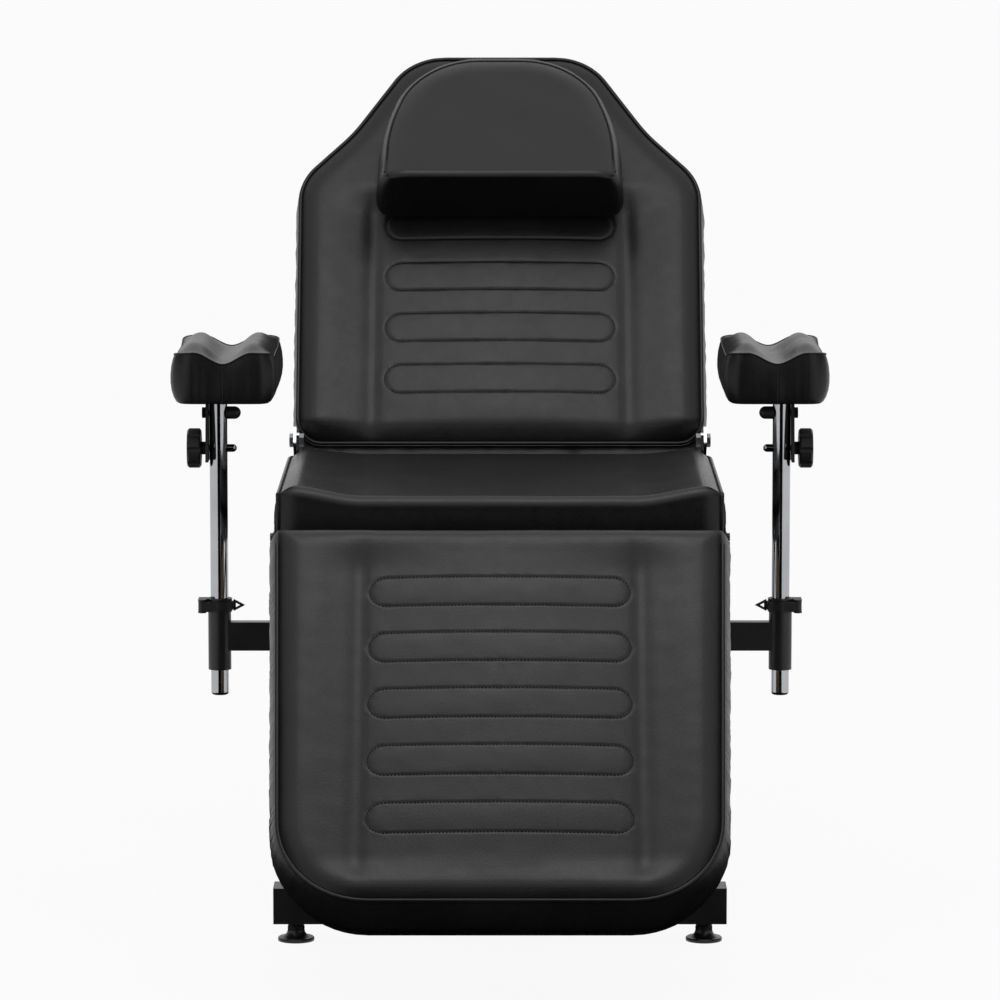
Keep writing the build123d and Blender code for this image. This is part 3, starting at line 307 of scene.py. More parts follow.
def tubeMesh(path, radius, sides=10, closed=False):
    path = [Vector(p) for p in path]
    count = len(path)
    vertices = []
    across = None
    for i, here in enumerate(path):
        before = path[i - 1] if closed or i else here
        after = path[(i + 1) % count] if closed or i < count - 1 else here
        along = (after - before).normalized()
        if across is None:
            across = along.orthogonal().normalized()
        across = (across - along * across.dot(along)).normalized()
        other = along.cross(across)
        for k in range(sides):
            turn = 2 * math.pi * k / sides
            vertices.append(here + (across * math.cos(turn) + other * math.sin(turn)) * radius)
    faces = []
    for i in range(count if closed else count - 1):
        one = [i * sides + k for k in range(sides)]
        two = [(i + 1) % count * sides + k for k in range(sides)]
        faces += ringFaces(one, two)
    if not closed:
        faces.append(tuple(reversed(range(sides))))
        faces.append(tuple((count - 1) * sides + k for k in range(sides)))
    return vertices, faces


# Short raised threads along a path, each a thin spindle: share of its length, size and lift
spindle = ((0, 0.45, -0.3), (0.25, 1, 0.7), (0.75, 1, 0.7), (1, 0.45, -0.3))


def stitchMesh(path, up, stitch, sides=5):
    length, gap, radius = (stitch[key] * mm for key in ("length", "gap", "radius"))
    spans = [(after - here).length for here, after in zip(path, path[1:])]
    ends = np.concatenate([[0], np.cumsum(spans)])
    points = np.array([list(p) for p in path])
    count = int(ends[-1] / (length + gap))
    pitch = ends[-1] / count

    def placeAt(run):
        return Vector([np.interp(run, ends, points[:, k]) for k in range(3)])

    vertices, faces = [], []
    for i in range(count):
        start = placeAt(i * pitch)
        end = placeAt(i * pitch + length)
        side = (end - start).normalized().cross(up)
        base = len(vertices)
        for share, size, lift in spindle:
            middle = start.lerp(end, share) + up * radius * lift
            for k in range(sides):
                turn = 2 * math.pi * k / sides
                vertices.append(middle + (side * math.cos(turn) + up * math.sin(turn)) * radius * size)
        for k in range(len(spindle) - 1):
            one = [base + k * sides + m for m in range(sides)]
            faces += ringFaces(one, [m + sides for m in one])
        faces.append(tuple(range(base + sides - 1, base - 1, -1)))
        faces.append(tuple(range(len(vertices) - sides, len(vertices))))
    return vertices, faces


# Right-hand half of a rounded outline, as points from its low end to its far end
def sideLine(corners, radii, inset, arcSteps=12, leastRadius=4.0):
    ring = list(corners)
    sizes = list(radii)
    for (x, s), radius in zip(reversed(corners), reversed(radii)):
        if x > 0:
            ring.append((-x, s))
            sizes.append(radius)
    line = []
    for i in range(len(corners)):
        here = Vector(ring[i])
        one = (here - Vector(ring[i - 1])).normalized()
        two = (Vector(ring[(i + 1) % len(ring)]) - here).normalized()
        sideOne = Vector((-one.y, one.x))
        sideTwo = Vector((-two.y, two.x))
        corner = here + (sideOne + sideTwo) * (inset / (1 + sideOne.dot(sideTwo)))
        turn = math.atan2(one.x * two.y - one.y * two.x, one.dot(two))
        radius = max(sizes[i] - inset, leastRadius) if turn > 0 else sizes[i] + inset
        reach = radius * math.tan(abs(turn) / 2)
        hub = corner - one * reach + (sideOne if turn > 0 else -sideOne) * radius
        spoke = corner - one * reach - hub
        for k in range(arcSteps + 1):
            angle = turn * k / arcSteps
            line.append((
                hub.x + spoke.x * math.cos(angle) - spoke.y * math.sin(angle),
                hub.y + spoke.x * math.sin(angle) + spoke.y * math.cos(angle),
            ))
    return [(x, s) for x, s in line if x > -1e-6]


def edgeDistance(x, s, line):
    ring = np.array(line + [(-a, b) for a, b in reversed(line)])
    after = np.roll(ring, -1, axis=0)
    best = np.full(x.shape, 1e9)
    for (ax, ay), (bx, by) in zip(ring, after):
        dx, dy = bx - ax, by - ay
        size = dx * dx + dy * dy
        if size < 1e-9:
            continue
        t = np.clip(((x - ax) * dx + (s - ay) * dy) / size, 0, 1)
        best = np.minimum(best, np.hypot(x - ax - t * dx, s - ay - t * dy))
    return best


# Slow, seeded unevenness of a hand-stretched cover
def softWaves(seed, size, count=7):
    rng = random.Random(seed)
    waves = []
    for _ in range(count):
        angle = rng.uniform(0, math.pi)
        length = size * rng.uniform(0.6, 1.7)
        waves.append((math.cos(angle) / length, math.sin(angle) / length, rng.uniform(0, 2 * math.pi)))

    def wave(x, s):
        total = 0
        for kx, ks, phase in waves:
            total = total + np.sin(2 * math.pi * (x * kx + s * ks) + phase)
        return total / count

    return wave


# Small gathers along a seam, where the boxing is sewn on
def puckerFor(seed, strength):
    wave = softWaves(seed, 34, 6)
    tight = softWaves(seed + 5, 13, 5)

    def pucker(run):
        return strength * (wave(run, run * 0) + 0.5 * tight(run, run * 0))

    return pucker


# Places along one side of a panel, close together near its edges and in the fine spans
edgeGaps = (1.2, 2.6, 4.5, 7, 10, 14, 19, 25, 32, 40)


def spacedPlaces(low, high, step, fine, fixed=(), least=0.75):
    places = {low, high, *(round(v, 3) for v in fixed if low <= v <= high)}
    for gap in edgeGaps:
        places.update((low + gap, high - gap))
    for start, end, size in ((low, high, step), *fine):
        count = max(int((end - start) / size), 1)
        places.update(start + (end - start) * k / count for k in range(count + 1))
    places = sorted(p for p in places if low <= p <= high)
    kept = [places[0]]
    for place in places[1:]:
        if place - kept[-1] > least:
            kept.append(place)
    kept[-1] = high
    return np.array(kept)


def mirroredShares(half):
    return np.concatenate([-half[:0:-1], half]) / half[-1]


# Grid over an outline: each row is as wide as the outline is there
def outlineGrid(line, rows, columns):
    lineX, lineS = np.array(line).T
    width = np.interp(rows, lineS, lineX)
    return width[:, None] * columns[None, :], rows[:, None] * np.ones_like(columns)[None, :]


def panelGrid(line, step, fineRows=(), fineColumns=()):
    lineX, lineS = np.array(line).T
    rows = spacedPlaces(lineS[0], lineS[-1], step, fineRows, lineS)
    columns = mirroredShares(spacedPlaces(0, lineX.max(), step, fineColumns))
    return outlineGrid(line, rows, columns)


# A shell starts as a panel and grows by rings, each joined to the one before it
def startShell(x, s, n):
    rowCount, columnCount = x.shape
    rim = list(range(columnCount))
    rim += [j * columnCount + columnCount - 1 for j in range(1, rowCount)]
    rim += [(rowCount - 1) * columnCount + i for i in range(columnCount - 2, -1, -1)]
    rim += [j * columnCount for j in range(rowCount - 2, 0, -1)]
    points = np.stack([x.ravel(), s.ravel(), n.ravel()], axis=1)
    return {"points": points, "faces": gridFaces(rowCount, columnCount), "rings": [rim]}


def addRing(shell, xy, level, closed=True):
    ring = np.column_stack([xy, np.broadcast_to(level, len(xy))])
    start = len(shell["points"])
    here = list(range(start, start + len(ring)))
    shell["points"] = np.concatenate([shell["points"], ring])
    shell["faces"] += ringFaces(shell["rings"][-1], here, closed)
    shell["rings"].append(here)


def closeShell(shell):
    shell["faces"].append(tuple(shell["rings"][-1]))


# Level direction out from a closed seam at each of its points, evened along it in some passes
def outwardFrom(seam, passes=0, blend=0.5):
    ahead = np.roll(seam, -1, axis=0)[:, :2] - np.roll(seam, 1, axis=0)[:, :2]
    out = np.stack([ahead[:, 1], -ahead[:, 0]], axis=1)
    out /= np.linalg.norm(out, axis=1)[:, None] + 1e-12
    for _ in range(passes):
        out = out + blend * (np.roll(out, 1, axis=0) + np.roll(out, -1, axis=0))
        out /= np.linalg.norm(out, axis=1)[:, None] + 1e-12
    return out


def runAlong(seam):
    return np.concatenate([[0], np.cumsum(np.linalg.norm(np.diff(seam, axis=0), axis=1))])


# An outline drawn in towards its middle
def drawnIn(xy, pull):
    middle = (xy.max(axis=0) + xy.min(axis=0)) / 2
    half = (xy.max(axis=0) - xy.min(axis=0)) / 2
    return middle + (xy - middle) * (1 - pull / half)


# How far a pad's face falls towards its end
def rollOver(s, depth, start, width, power):
    return depth * np.clip(1 - (s - start) / width, 0, 1) ** power


# The cover turned under a board, in mm
turned = {
    "outerInset": 15.2,  # outer face of the cover beside the board, in from the outline
    "innerInset": 16.7,  # its inner face, clear of the board
    "sideStart": 4,
    "bend": 1.0,
    "lowest": 1.6,
    "under": 1.5,
    "gap": 0.15,
}


def turnUnder(shell, side, bent, inner, cavity, spec):
    bottom = spec["boardBottom"]
    addRing(shell, side, bottom - turned["bend"])
    addRing(shell, bent, bottom - turned["lowest"])
    addRing(shell, inner, bottom - turned["under"])
    addRing(shell, inner, bottom - turned["gap"])
    addRing(shell, cavity, bottom - turned["gap"])
    addRing(shell, cavity, spec["boardTop"] + turned["gap"])
    closeShell(shell)


# A panel over a rounded outline, its boxing, and the cover turned under the board, as one closed shell
def padShell(spec, height, pucker):
    (lowX, lowS), *others = spec["corners"]
    line = sideLine([(lowX, lowS - spec["lowTuck"]), *others], spec["radii"], spec["inset"])
    x, s = panelGrid(line, spec["step"], *fineSpans(spec["pills"]))
    shell = startShell(x, s, height(x, s, edgeDistance(x, s, line)))
    seam = shell["points"][shell["rings"][0]]
    out = outwardFrom(seam, passes=2)
    gathers = pucker(runAlong(seam[:, :2]))
    lowness = np.clip(-out[:, 1], 0, 1) ** 2
    tuck = np.column_stack([lowness * 0, lowness * spec["lowTuck"]])
    for offset, share in spec["boxing"]:
        swell = 4 * share * (1 - share)
        reach = offset * (1 + 0.1 * gathers * swell) * (1 - 0.78 * lowness * swell)
        xy = seam[:, :2] + out * (reach + 0.7 * gathers * swell)[:, None] + tuck * share ** 2
        addRing(shell, xy, seam[:, 2] * (1 - share) + spec["boardTop"] * share)
    side = seam[:, :2] + out * (spec["inset"] - turned["outerInset"]) + tuck
    cavity = seam[:, :2] + out * (spec["inset"] - turned["innerInset"]) + tuck
    inner = drawnIn(seam[:, :2], spec["underCover"] - spec["inset"])
    addRing(shell, side, spec["boardTop"] - turned["sideStart"])
    turnUnder(shell, side, side - out * turned["bend"], inner, cavity, spec)
    return shell, seam, out


def toFrame(points, place, run):
    return [place @ Vector((x * mm, run * s * mm, n * mm)) for x, s, n in points]


def thinned(path, least):
    kept = [path[0]]
    for point in path[1:-1]:
        if (point - kept[-1]).length > least and (point - path[-1]).length > least:
            kept.append(point)
    kept.append(path[-1])
    return kept


# Turns a closed seam round so that it starts where the welt starts
def orderedFrom(seam, out, keep):
    flags = [keep(x, s) for x, s, _ in seam]
    if all(flags):
        return seam, out
    start = next(i for i in range(len(flags)) if flags[i] and not flags[i - 1])
    return np.roll(seam, -start, axis=0), np.roll(out, -start, axis=0)


# The round cord of a welt, in mm: it stands a little proud of its seam
weltCord = {"radius": 3.1, "lean": 1.2, "lift": 0.6, "step": 4}
pillowCord = {"radius": 1.5, "lean": 0.5, "lift": 0.2, "step": 3.5}


def cordAlong(seam, out, keep, place, run, cord):
    lean, lift = cord["lean"], cord["lift"]
    path = [(x + ox * lean, s + oy * lean, n + lift) for (x, s, n), (ox, oy) in zip(seam, out) if keep(x, s)]
    return thinned(toFrame(path, place, run), cord["step"] * mm)


def joinMesh(vertices, faces, more, moreFaces):
    faces.extend(tuple(k + len(vertices) for k in face) for face in moreFaces)
    vertices.extend(more)


# A welt or a row of stitches, on the body of the pad that it is sewn to
def addTrim(name, vertices, faces, finish, body):
    trim = addPiece(name, vertices, faces, finish)
    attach(trim, body)


backAngle = 52  # degrees that the back stands up from flat in the photographed pose
legAngle = 48  # degrees that the leg rest hangs down from flat


def pivotPlace(joint, angle):
    return Matrix.Translation(joints[joint]["pos_m"]) @ Matrix.Rotation(math.radians(angle), 4, "X")


backPlace = pivotPlace("back_recline", backAngle)
legPlace = pivotPlace("leg_lift", legAngle)

backPad = {
    "corners": ((300, 10), (303.5, 456), (223.5, 543), (135, 683)),
    "radii": (42, 95, 250, 96),
    "inset": 10,
    "face": -8,
    "boardTop": -88,
    "boardBottom": -100,
    "step": 9,
    "troughEnd": (392, 446),
    "pills": [(167.5, 48, 109 + 88.3 * k) for k in range(4)],
    "lowTuck": 11,
    "lowFade": 0,
    "lowRoll": {"depth": 13, "start": 9, "width": 32, "power": 1.7},
    "underCover": 45,
    "boxing": ((0.6, 0.02), (2.6, 0.07), (5.2, 0.17), (7.4, 0.32), (8.8, 0.48), (8.6, 0.64), (5.6, 0.81),
               (0.6, 0.94), (-4, 1)),
}
legPad = {
    "corners": ((310.5, 12.6), (296.5, 600)),
    "radii": (16, 130),
    "inset": 14,
    "face": 104.5,
    "boardTop": 24.5,
    "boardBottom": 12.5,
    "step": 9,
    "troughEnd": (520, 574),
    "pills": [(172.5, 45, 115.5 + 87.3 * k) for k in range(5)],
    "lowTuck": 13,
    "lowFade": 0.75,
    "topRoll": {"depth": 2.5, "start": 14, "width": 20, "power": 2},
    "topCrumple": {"depth": 1.1, "start": 15, "width": 30, "power": 1},
    "underCover": 45,
    "boxing": ((0.8, 0.02), (3.4, 0.06), (6.8, 0.15), (9.8, 0.28), (12.2, 0.45), (12.4, 0.62), (9.6, 0.8),
               (4.6, 0.94), (0, 1)),
}
# Section across both pads, from the middle out, in mm
section = {
    "middleHalf": 165,
    "middleRise": 4.5,
    "valleyAt": 185,
    "valleyWidth": 13,
    "valleyDepth": 3.2,
    "bolsterStart": 187,
    "bolsterWidth": 78,
    "bolsterRise": 9,
    "crownWidth": 36,
    "creaseDepth": 1.3,
    "creaseWidth": 3,
    "slowWave": 0.55,
    "quickWave": 0.3,
}
# Sewn outlines draw the cover in, and the foam puffs up inside them
quilt = {
    "depth": 0.85,
    "lineWidth": 1.9,
    "puff": 0.55,
    "puffWidth": 9,
    "ripple": 0.35,
    "rippleWidth": 6,
}
quiltStitch = {"length": 3.6, "gap": 1.2, "radius": 0.5}


def pillDistance(x, s, pill):
    half, height, place = pill
    radius = height / 2
    return np.hypot(np.maximum(np.abs(x) - (half - radius), 0), s - place) - radius


def pillPath(pill, step=3.0, arcSteps=16):
    half, height, place = pill
    radius = height / 2
    straight = half - radius
    count = int(2 * straight / step)
    points = []
    for sign in (1, -1):
        for k in range(count):
            points.append((sign * straight * (2 * k / count - 1), place - sign * radius))
        for k in range(arcSteps):
            angle = math.pi * (k / arcSteps - sign / 2)
            points.append((sign * straight + radius * math.cos(angle), place + radius * math.sin(angle)))
    return points + points[:1]


# Fine spans of rows and columns around the sewn outlines
def fineSpans(pills):
    half, height, _ = pills[0]
    rows = []
    for _, _, place in pills:
        low, high = place - height / 2, place + height / 2
        rows += [(low - 5, low + 5, 1.25), (high - 5, high + 5, 1.25), (low, high, 2.4)]
    return rows, [(half - height / 2 - 4, half + 6, 2.2), (half + 6, 245, 4)]


def quilting(pills, x, s, ripple):
    total = np.zeros_like(x)
    for pill in pills:
        d = pillDistance(x, s, pill)
        puff = quilt["puff"] * (1 - np.exp(-((np.abs(d) / quilt["puffWidth"]) ** 1.4)))
        total -= quilt["depth"] * np.exp(-((d / quilt["lineWidth"]) ** 2))
        total += np.where(d < 0, puff, 0)
        total += quilt["ripple"] * np.exp(-((d / quilt["rippleWidth"]) ** 2)) * ripple(x, s)
    return total


# Bolster along each side, a soft valley beside it and a flat quilted middle
def bodyPadHeight(spec, seed, endRoll):
    slow = softWaves(seed, 150)
    quick = softWaves(seed + 2, 48, 9)
    ripple = softWaves(seed + 1, 9, 5)
    troughStart, troughStop = spec["troughEnd"]

    def height(x, s, d):
        a = np.abs(x)
        along = 1 - smoothStep((s - troughStart) / (troughStop - troughStart))
        along = along * (1 - spec["lowFade"] * (1 - smoothStep((s - 14) / 70)))
        bolster = smoothStep((a - section["bolsterStart"]) / section["bolsterWidth"])
        rise = section["bolsterRise"] * (bolster * along + 1 - along)
        valley = np.exp(-(((a - section["valleyAt"]) / section["valleyWidth"]) ** 2))
        middle = section["middleRise"] * (1 - np.clip(a / section["middleHalf"], 0, 1) ** 2)
        crown = 1 - (1 - np.clip(d / section["crownWidth"], 0, 1)) ** 2.4
        crease = section["creaseDepth"] * np.exp(-((d / section["creaseWidth"]) ** 1.5))
        uneven = section["slowWave"] * slow(x, s) + section["quickWave"] * quick(x, s)
        n = spec["face"] + (rise - section["valleyDepth"] * valley * along) * crown - crease
        n = n + middle * along * smoothStep(d / 60) + uneven * smoothStep(d / 30)
        n = n + quilting(spec["pills"], x, s, ripple) * smoothStep((d - 10) / 20)
        return n - endRoll(x, s)

    return height


# The back's low edge rolls over, and so does the leg rest's top edge, less and unevenly
topWaves = softWaves(29, 60, 6)


def backRoll(x, s):
    return rollOver(s, **backPad["lowRoll"])


def legRoll(x, s):
    return rollOver(s, **legPad["topRoll"]) + topWaves(x, s) * rollOver(s, **legPad["topCrumple"])


def addQuiltStitches(name, spec, height, place, run, body):
    inland = np.array([200.0])  # far enough from the edge for the pad's full height
    up = (place.to_3x3() @ Vector((0, 0, 1))).normalized()
    vertices, faces = [], []
    for pill in spec["pills"]:
        path = []
        for x, s in pillPath(pill):
            n = height(np.array([x]), np.array([s]), inland)[0]
            path.append((x, s, n + quiltStitch["radius"]))
        joinMesh(vertices, faces, *stitchMesh(toFrame(path, place, run), up, quiltStitch))
    addTrim(name, vertices, faces, "thread", body)


def makeBodyPad(name, spec, seed, endRoll, place, run, body, node, keepWelt):
    height = bodyPadHeight(spec, seed, endRoll)
    shell, seam, out = padShell(spec, height, puckerFor(seed, 0.8))
    pad = addPiece(name, toFrame(shell["points"], place, run), shell["faces"], "upholstery")
    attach(pad, body)
    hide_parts(node)
    seam, out = orderedFrom(seam, out, keepWelt)
    path = cordAlong(seam, out, keepWelt, place, run, weltCord)
    closed = all(keepWelt(x, s) for x, s, _ in seam)
    addTrim(f"{name}_welt", *tubeMesh(path, weltCord["radius"] * mm, closed=closed), "welt", body)
    addQuiltStitches(f"{name}_stitches", spec, height, place, run, body)
    print(name, len(pad.data.polygons), "faces")


def everywhere(x, s):
    return True


def belowLegTop(x, s):
    return s > 34


makeBodyPad("back_pad", backPad, 11, backRoll, backPlace, 1, "back", "back_cushion", everywhere)
makeBodyPad("leg_pad", legPad, 23, legRoll, legPlace, -1, "leg", "leg_cushion", belowLegTop)


# Seat pad: the top rolls over its front edge into a front panel, with a welt down each side
seatPad = {
    "rear": -12,
    "crest": -450,
    "crestRadius": 17,
    "crestTurn": 88,
    "crestSteps": 14,
    "top": 640,
    "boardTop": 560,
    "boardBottom": 548,
    "half": 305,
    "inset": 6,
    "rearCorner": 34,
    "crown": 14,
    "crownWidth": 30,
    "frontDish": 14.5,
    "frontFoot": -466,
    "frontSteps": 10,
    "frontBulge": 3.0,
    "rearFall": 4,
    "rearFallWidth": 24,
    "rearDish": 7,
    "dishHalf": 185,
    "dishShoulder": 290,
    "dishFade": 62,
    "softness": 0.9,
    "softWidth": 40,
    "foldDepth": 1.1,
    "foldAt": 225,
    "foldWidth": 60,
    "foldLength": 16,
    "cornerPull": 0.55,
    "step": 9,
    "fineColumns": [(170, 294, 6)],
    "boxing": ((1.2, 0.03), (3, 0.09), (5, 0.2), (6.2, 0.36), (6.4, 0.55), (4, 0.75), (-2, 0.9), (-8, 1.0)),
}


# Rows from the rear to the foot of the front panel: place, level and how far the cover has turned down
def seatProfile():
    crest, top, radius = seatPad["crest"], seatPad["top"], seatPad["crestRadius"]
    places = spacedPlaces(crest, seatPad["rear"] - seatPad["inset"], seatPad["step"], [])
    rows = [(y, top, 0.0) for y in reversed(places)]
    for k in range(1, seatPad["crestSteps"] + 1):
        share = k / seatPad["crestSteps"]
        turn = math.radians(seatPad["crestTurn"]) * share
        rows.append((crest - radius * math.sin(turn), top - radius * (1 - math.cos(turn)), share))
    startY, startZ, _ = rows[-1]
    foot = seatPad["boardTop"] - 5
    for k in range(1, seatPad["frontSteps"] + 1):
        share = k / seatPad["frontSteps"]
        bulge = seatPad["frontBulge"] * math.sin(math.pi * share)
        rows.append((startY + (seatPad["frontFoot"] - startY) * share - bulge,
                     startZ + (foot - startZ) * share, 1.0))
    return rows


def seatPoints(rows, columns, edge, corner, rearY):
    slow = softWaves(41, 130)
    creases = softWaves(43, 30, 5)
    flank = seatPad["dishShoulder"] - seatPad["dishHalf"]
    points = []
    for y, z, turn in rows:
        back = max(rearY - y, 0)
        half = edge
        if back < corner:
            half = edge - corner + math.sqrt(max(corner ** 2 - (corner - back) ** 2, 0))
        along = min(back / (rearY - seatPad["crest"]), 1)
        depth = seatPad["rearDish"] + (seatPad["frontDish"] - seatPad["rearDish"]) * along
        upper = min(max((z - seatPad["boardTop"]) / seatPad["dishFade"], 0), 1)
        rearFall = seatPad["rearFall"] * (1 - min(back / seatPad["rearFallWidth"], 1)) ** 2
        for u in columns:
            x = u * half
            side = half - abs(x)
            dish = depth * (1 - float(smoothStep((abs(x) - seatPad["dishHalf"]) / flank)))
            fall = max(seatPad["crown"] * (1 - min(side / seatPad["crownWidth"], 1)) ** 2.4, rearFall)
            soft = seatPad["softness"] * float(slow(x, y)) * min(min(side, back) / seatPad["softWidth"], 1)
            nearCrest = math.exp(-((y - seatPad["crest"] + 2) / seatPad["foldLength"]) ** 2)
            nearFlank = math.exp(-((abs(x) - seatPad["foldAt"]) / seatPad["foldWidth"]) ** 2)
            fold = seatPad["foldDepth"] * float(creases(x * 0.35, y)) * nearCrest * nearFlank
            sink = dish * upper + (fall + soft + fold) * (1 - turn)
            points.append((x, y + seatPad["cornerPull"] * fall * turn, z - sink))
    return np.array(points)


def makeSeatPad():
    rows = seatProfile()
    edge = seatPad["half"] - seatPad["inset"]
    corner = seatPad["rearCorner"] - seatPad["inset"]
    rearY = seatPad["rear"] - seatPad["inset"]
    columns = mirroredShares(spacedPlaces(0, edge, seatPad["step"], seatPad["fineColumns"]))
    rowCount, columnCount = len(rows), len(columns)

    def outAt(x, y):
        aside, behind = abs(x) - edge + corner, y - rearY + corner
        if behind <= 0:
            return math.copysign(1, x), 0
        if aside <= 0:
            return 0, 1
        size = math.hypot(aside, behind)
        return math.copysign(aside / size, x), behind / size

    # The rear row and both side columns carry the boxing, which reaches down to the board
    rim = [j * columnCount for j in range(rowCount - 1, -1, -1)]
    rim += list(range(1, columnCount))
    rim += [j * columnCount + columnCount - 1 for j in range(1, rowCount)]
    points = seatPoints(rows, columns, edge, corner, rearY)
    shell = {"points": points, "faces": gridFaces(rowCount, columnCount), "rings": [rim]}
    seam = points[rim]
    out = np.array([outAt(x, y) for x, y, _ in seam])
    gathers = 0.8 * puckerFor(47, 0.7)(runAlong(seam))
    level = seatPad["boardTop"]
    footY = np.maximum(seam[:, 1], seatPad["frontFoot"] + 6)
    onFront = seam[:, 1] < seatPad["crest"] - 8
    slack = np.where(onFront, np.clip((seam[:, 2] - level) / 20, 0.15, 1), 1)
    for offset, share in seatPad["boxing"]:
        reach = offset + gathers * 4 * share * (1 - share)
        x = seam[:, 0] + out[:, 0] * reach * slack
        y = seam[:, 1] + out[:, 1] * reach + (footY - seam[:, 1]) * share
        z = seam[:, 2] + (level - 2 - seam[:, 2]) * share
        addRing(shell, np.column_stack([x, y]), z, closed=False)
    frontRow = [(rowCount - 1) * columnCount + i for i in range(columnCount - 2, 0, -1)]
    shell["rings"].append(shell["rings"][-1] + frontRow)
    foot = shell["points"][shell["rings"][-1], :2]
    turnUnder(shell, *(drawnIn(foot, pull) for pull in (-0.6, 0.8, 30, 0.9)), seatPad)
    toRow = Matrix.Translation((0, rearShift, 0))
    pad = addPiece("seat_pad", toFrame(shell["points"], toRow, 1), shell["faces"], "upholstery")
    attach(pad, "seat")
    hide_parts("seat_cushion")
    lean = weltCord["lean"]
    welt, weltFaces = [], []
    for sign in (1, -1):
        path = [(x + ox * lean, y + oy * lean, z + (weltCord["lift"] if y > seatPad["crest"] else 0))
                for (x, y, z), (ox, oy) in zip(seam, out) if x * sign > edge - corner - 4]
        path = thinned(toFrame(path, toRow, 1), weltCord["step"] * mm)
        joinMesh(welt, weltFaces, *tubeMesh(path, weltCord["radius"] * mm))
    addTrim("seat_pad_welt", welt, weltFaces, "welt", "seat")
    print("seat_pad", len(pad.data.polygons), "faces")


makeSeatPad()


# Head pillow: a wedge with an arched top, thick at its low edge, lying on the back
pillow = {
    "corners": ((183, 388), (177.5, 496.8), (146.4, 598.8), (76.9, 660)),
    "radii": (26, 400, 150, 125),
    "arcSteps": 16,
    "inset": 14,
    "lowTuck": 17,
    "sideReach": 120,  # the crown follows an outline that runs on this far below the low edge
    "base": 1.4,
    "lowThickness": 101,
    "highThickness": 21.5,
    "crown": 7,
    "crownWidth": 34,
    "creaseDepth": 0.8,
    "creaseWidth": 2.5,
    "lowRoll": {"depth": 6, "start": 0, "width": 13, "power": 2.2},
    "step": 7,
    "boxing": ((1, 0.02), (4, 0.08), (8, 0.2), (11, 0.36), (13.2, 0.55), (14, 0.72), (13.4, 0.85),
               (11, 0.94), (7, 0.985), (2, 1)),
}


def pillowOutline(reach):
    (lowX, lowS), *others = pillow["corners"]
    return sideLine([(lowX, lowS - reach), *others], pillow["radii"], pillow["inset"], pillow["arcSteps"])


def makePillow():
    lowS, highS = pillow["corners"][0][1], pillow["corners"][-1][1]
    line = [(x, s) for x, s in pillowOutline(pillow["lowTuck"]) if x > 0.4]
    start = line[0][1]
    x, s = panelGrid(line, pillow["step"])
    d = edgeDistance(x, s, pillowOutline(pillow["sideReach"]))
    slow = softWaves(61, 110)
    fall = (pillow["lowThickness"] - pillow["highThickness"]) / (highS - lowS)
    rim = pillow["base"] + pillow["lowThickness"] - fall * (s - lowS)
    crown = pillow["crown"] * (1 - (1 - np.clip(d / pillow["crownWidth"], 0, 1)) ** 2.2)
    crease = pillow["creaseDepth"] * np.exp(-((d / pillow["creaseWidth"]) ** 1.5))
    face = rim + crown - crease - rollOver(s - start, **pillow["lowRoll"])
    shell = startShell(x, s, face + 0.7 * slow(x, s) * smoothStep(d / 30))
    seam = shell["points"][shell["rings"][0]]
    out = outwardFrom(seam)
    gathers = 0.8 * puckerFor(67, 0.8)(runAlong(seam[:, :2]))
    lowness = np.clip(-out[:, 1], 0, 1) ** 2
    for offset, share in pillow["boxing"]:
        reach = offset * (1 - 0.75 * lowness) + gathers * 4 * share * (1 - share)
        addRing(shell, seam[:, :2] + out * reach[:, None], seam[:, 2] * (1 - share) + pillow["base"] * share)
    closeShell(shell)
    pad = addPiece("head_pillow_pad", toFrame(shell["points"], backPlace, 1), shell["faces"], "upholstery")
    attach(pad, "pillow")
    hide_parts("head_pillow")

    def arch(x, s):
        return s > start + 10

    seam, out = orderedFrom(seam, out, arch)
    path = cordAlong(seam, out, arch, backPlace, 1, pillowCord)
    addTrim("head_pillow_welt", *tubeMesh(path, pillowCord["radius"] * mm, 8), "welt", "pillow")
    print("head_pillow_pad", len(pad.data.polygons), "faces")


makePillow()


# Forearm pads: saddle-shaped top panel, boxing with a seam down each end
armPad = {
    "x": 378,
    "y": -250,
    "bottom": 741.5,
    "board": 9,
    "seamHalf": 67,
    "seamLength": 129,
    "corner": 24,
    "arcSteps": 14,
    "step": 4.5,
    "columns": 61,
    "valley": 47,
    "hump": 23.5,
    "humpAt": 0.6,
    "shoulderDrop": 0.85,
    "endDrop": 0.12,
    "endValley": 46,
    "endHump": 15,
    "boxing": ((0.6, 0.03), (2.4, 0.1), (4.6, 0.24), (5.8, 0.42), (5.8, 0.58), (4.4, 0.74), (1.4, 0.88),
               (-2, 0.965), (-5.5, 1)),
    "endSwell": 0.42,
    "underShares": (0.78, 0.7, 0.77),  # outer and inner line of the cover below, and its room
    "coverSag": 0.8,
    "cover": 0.7,
    "gap": 0.1,
    "gapAbove": 0.15,
    "cord": 1.1,
    "seamCord": 0.9,
}
armStitch = {"length": 4.2, "gap": 1.6, "radius": 0.6}


def armPadTop(x, y):
    toEnd = smoothStep((np.abs(y) / armPad["seamLength"] - 0.5) / 0.5) ** 1.3
    across = np.clip(np.abs(x) / armPad["seamHalf"], 0, 1)
    humpAt = armPad["humpAt"]
    drop = armPad["shoulderDrop"] + (armPad["endDrop"] - armPad["shoulderDrop"]) * toEnd
    hump = armPad["hump"] + (armPad["endHump"] - armPad["hump"]) * toEnd
    valley = armPad["valley"] + (armPad["endValley"] - armPad["valley"]) * toEnd
    shoulder = 1 - drop * ((across - humpAt) / (1 - humpAt)) ** 2
    return valley + hump * np.where(across < humpAt, smoothStep(across / humpAt), shoulder)


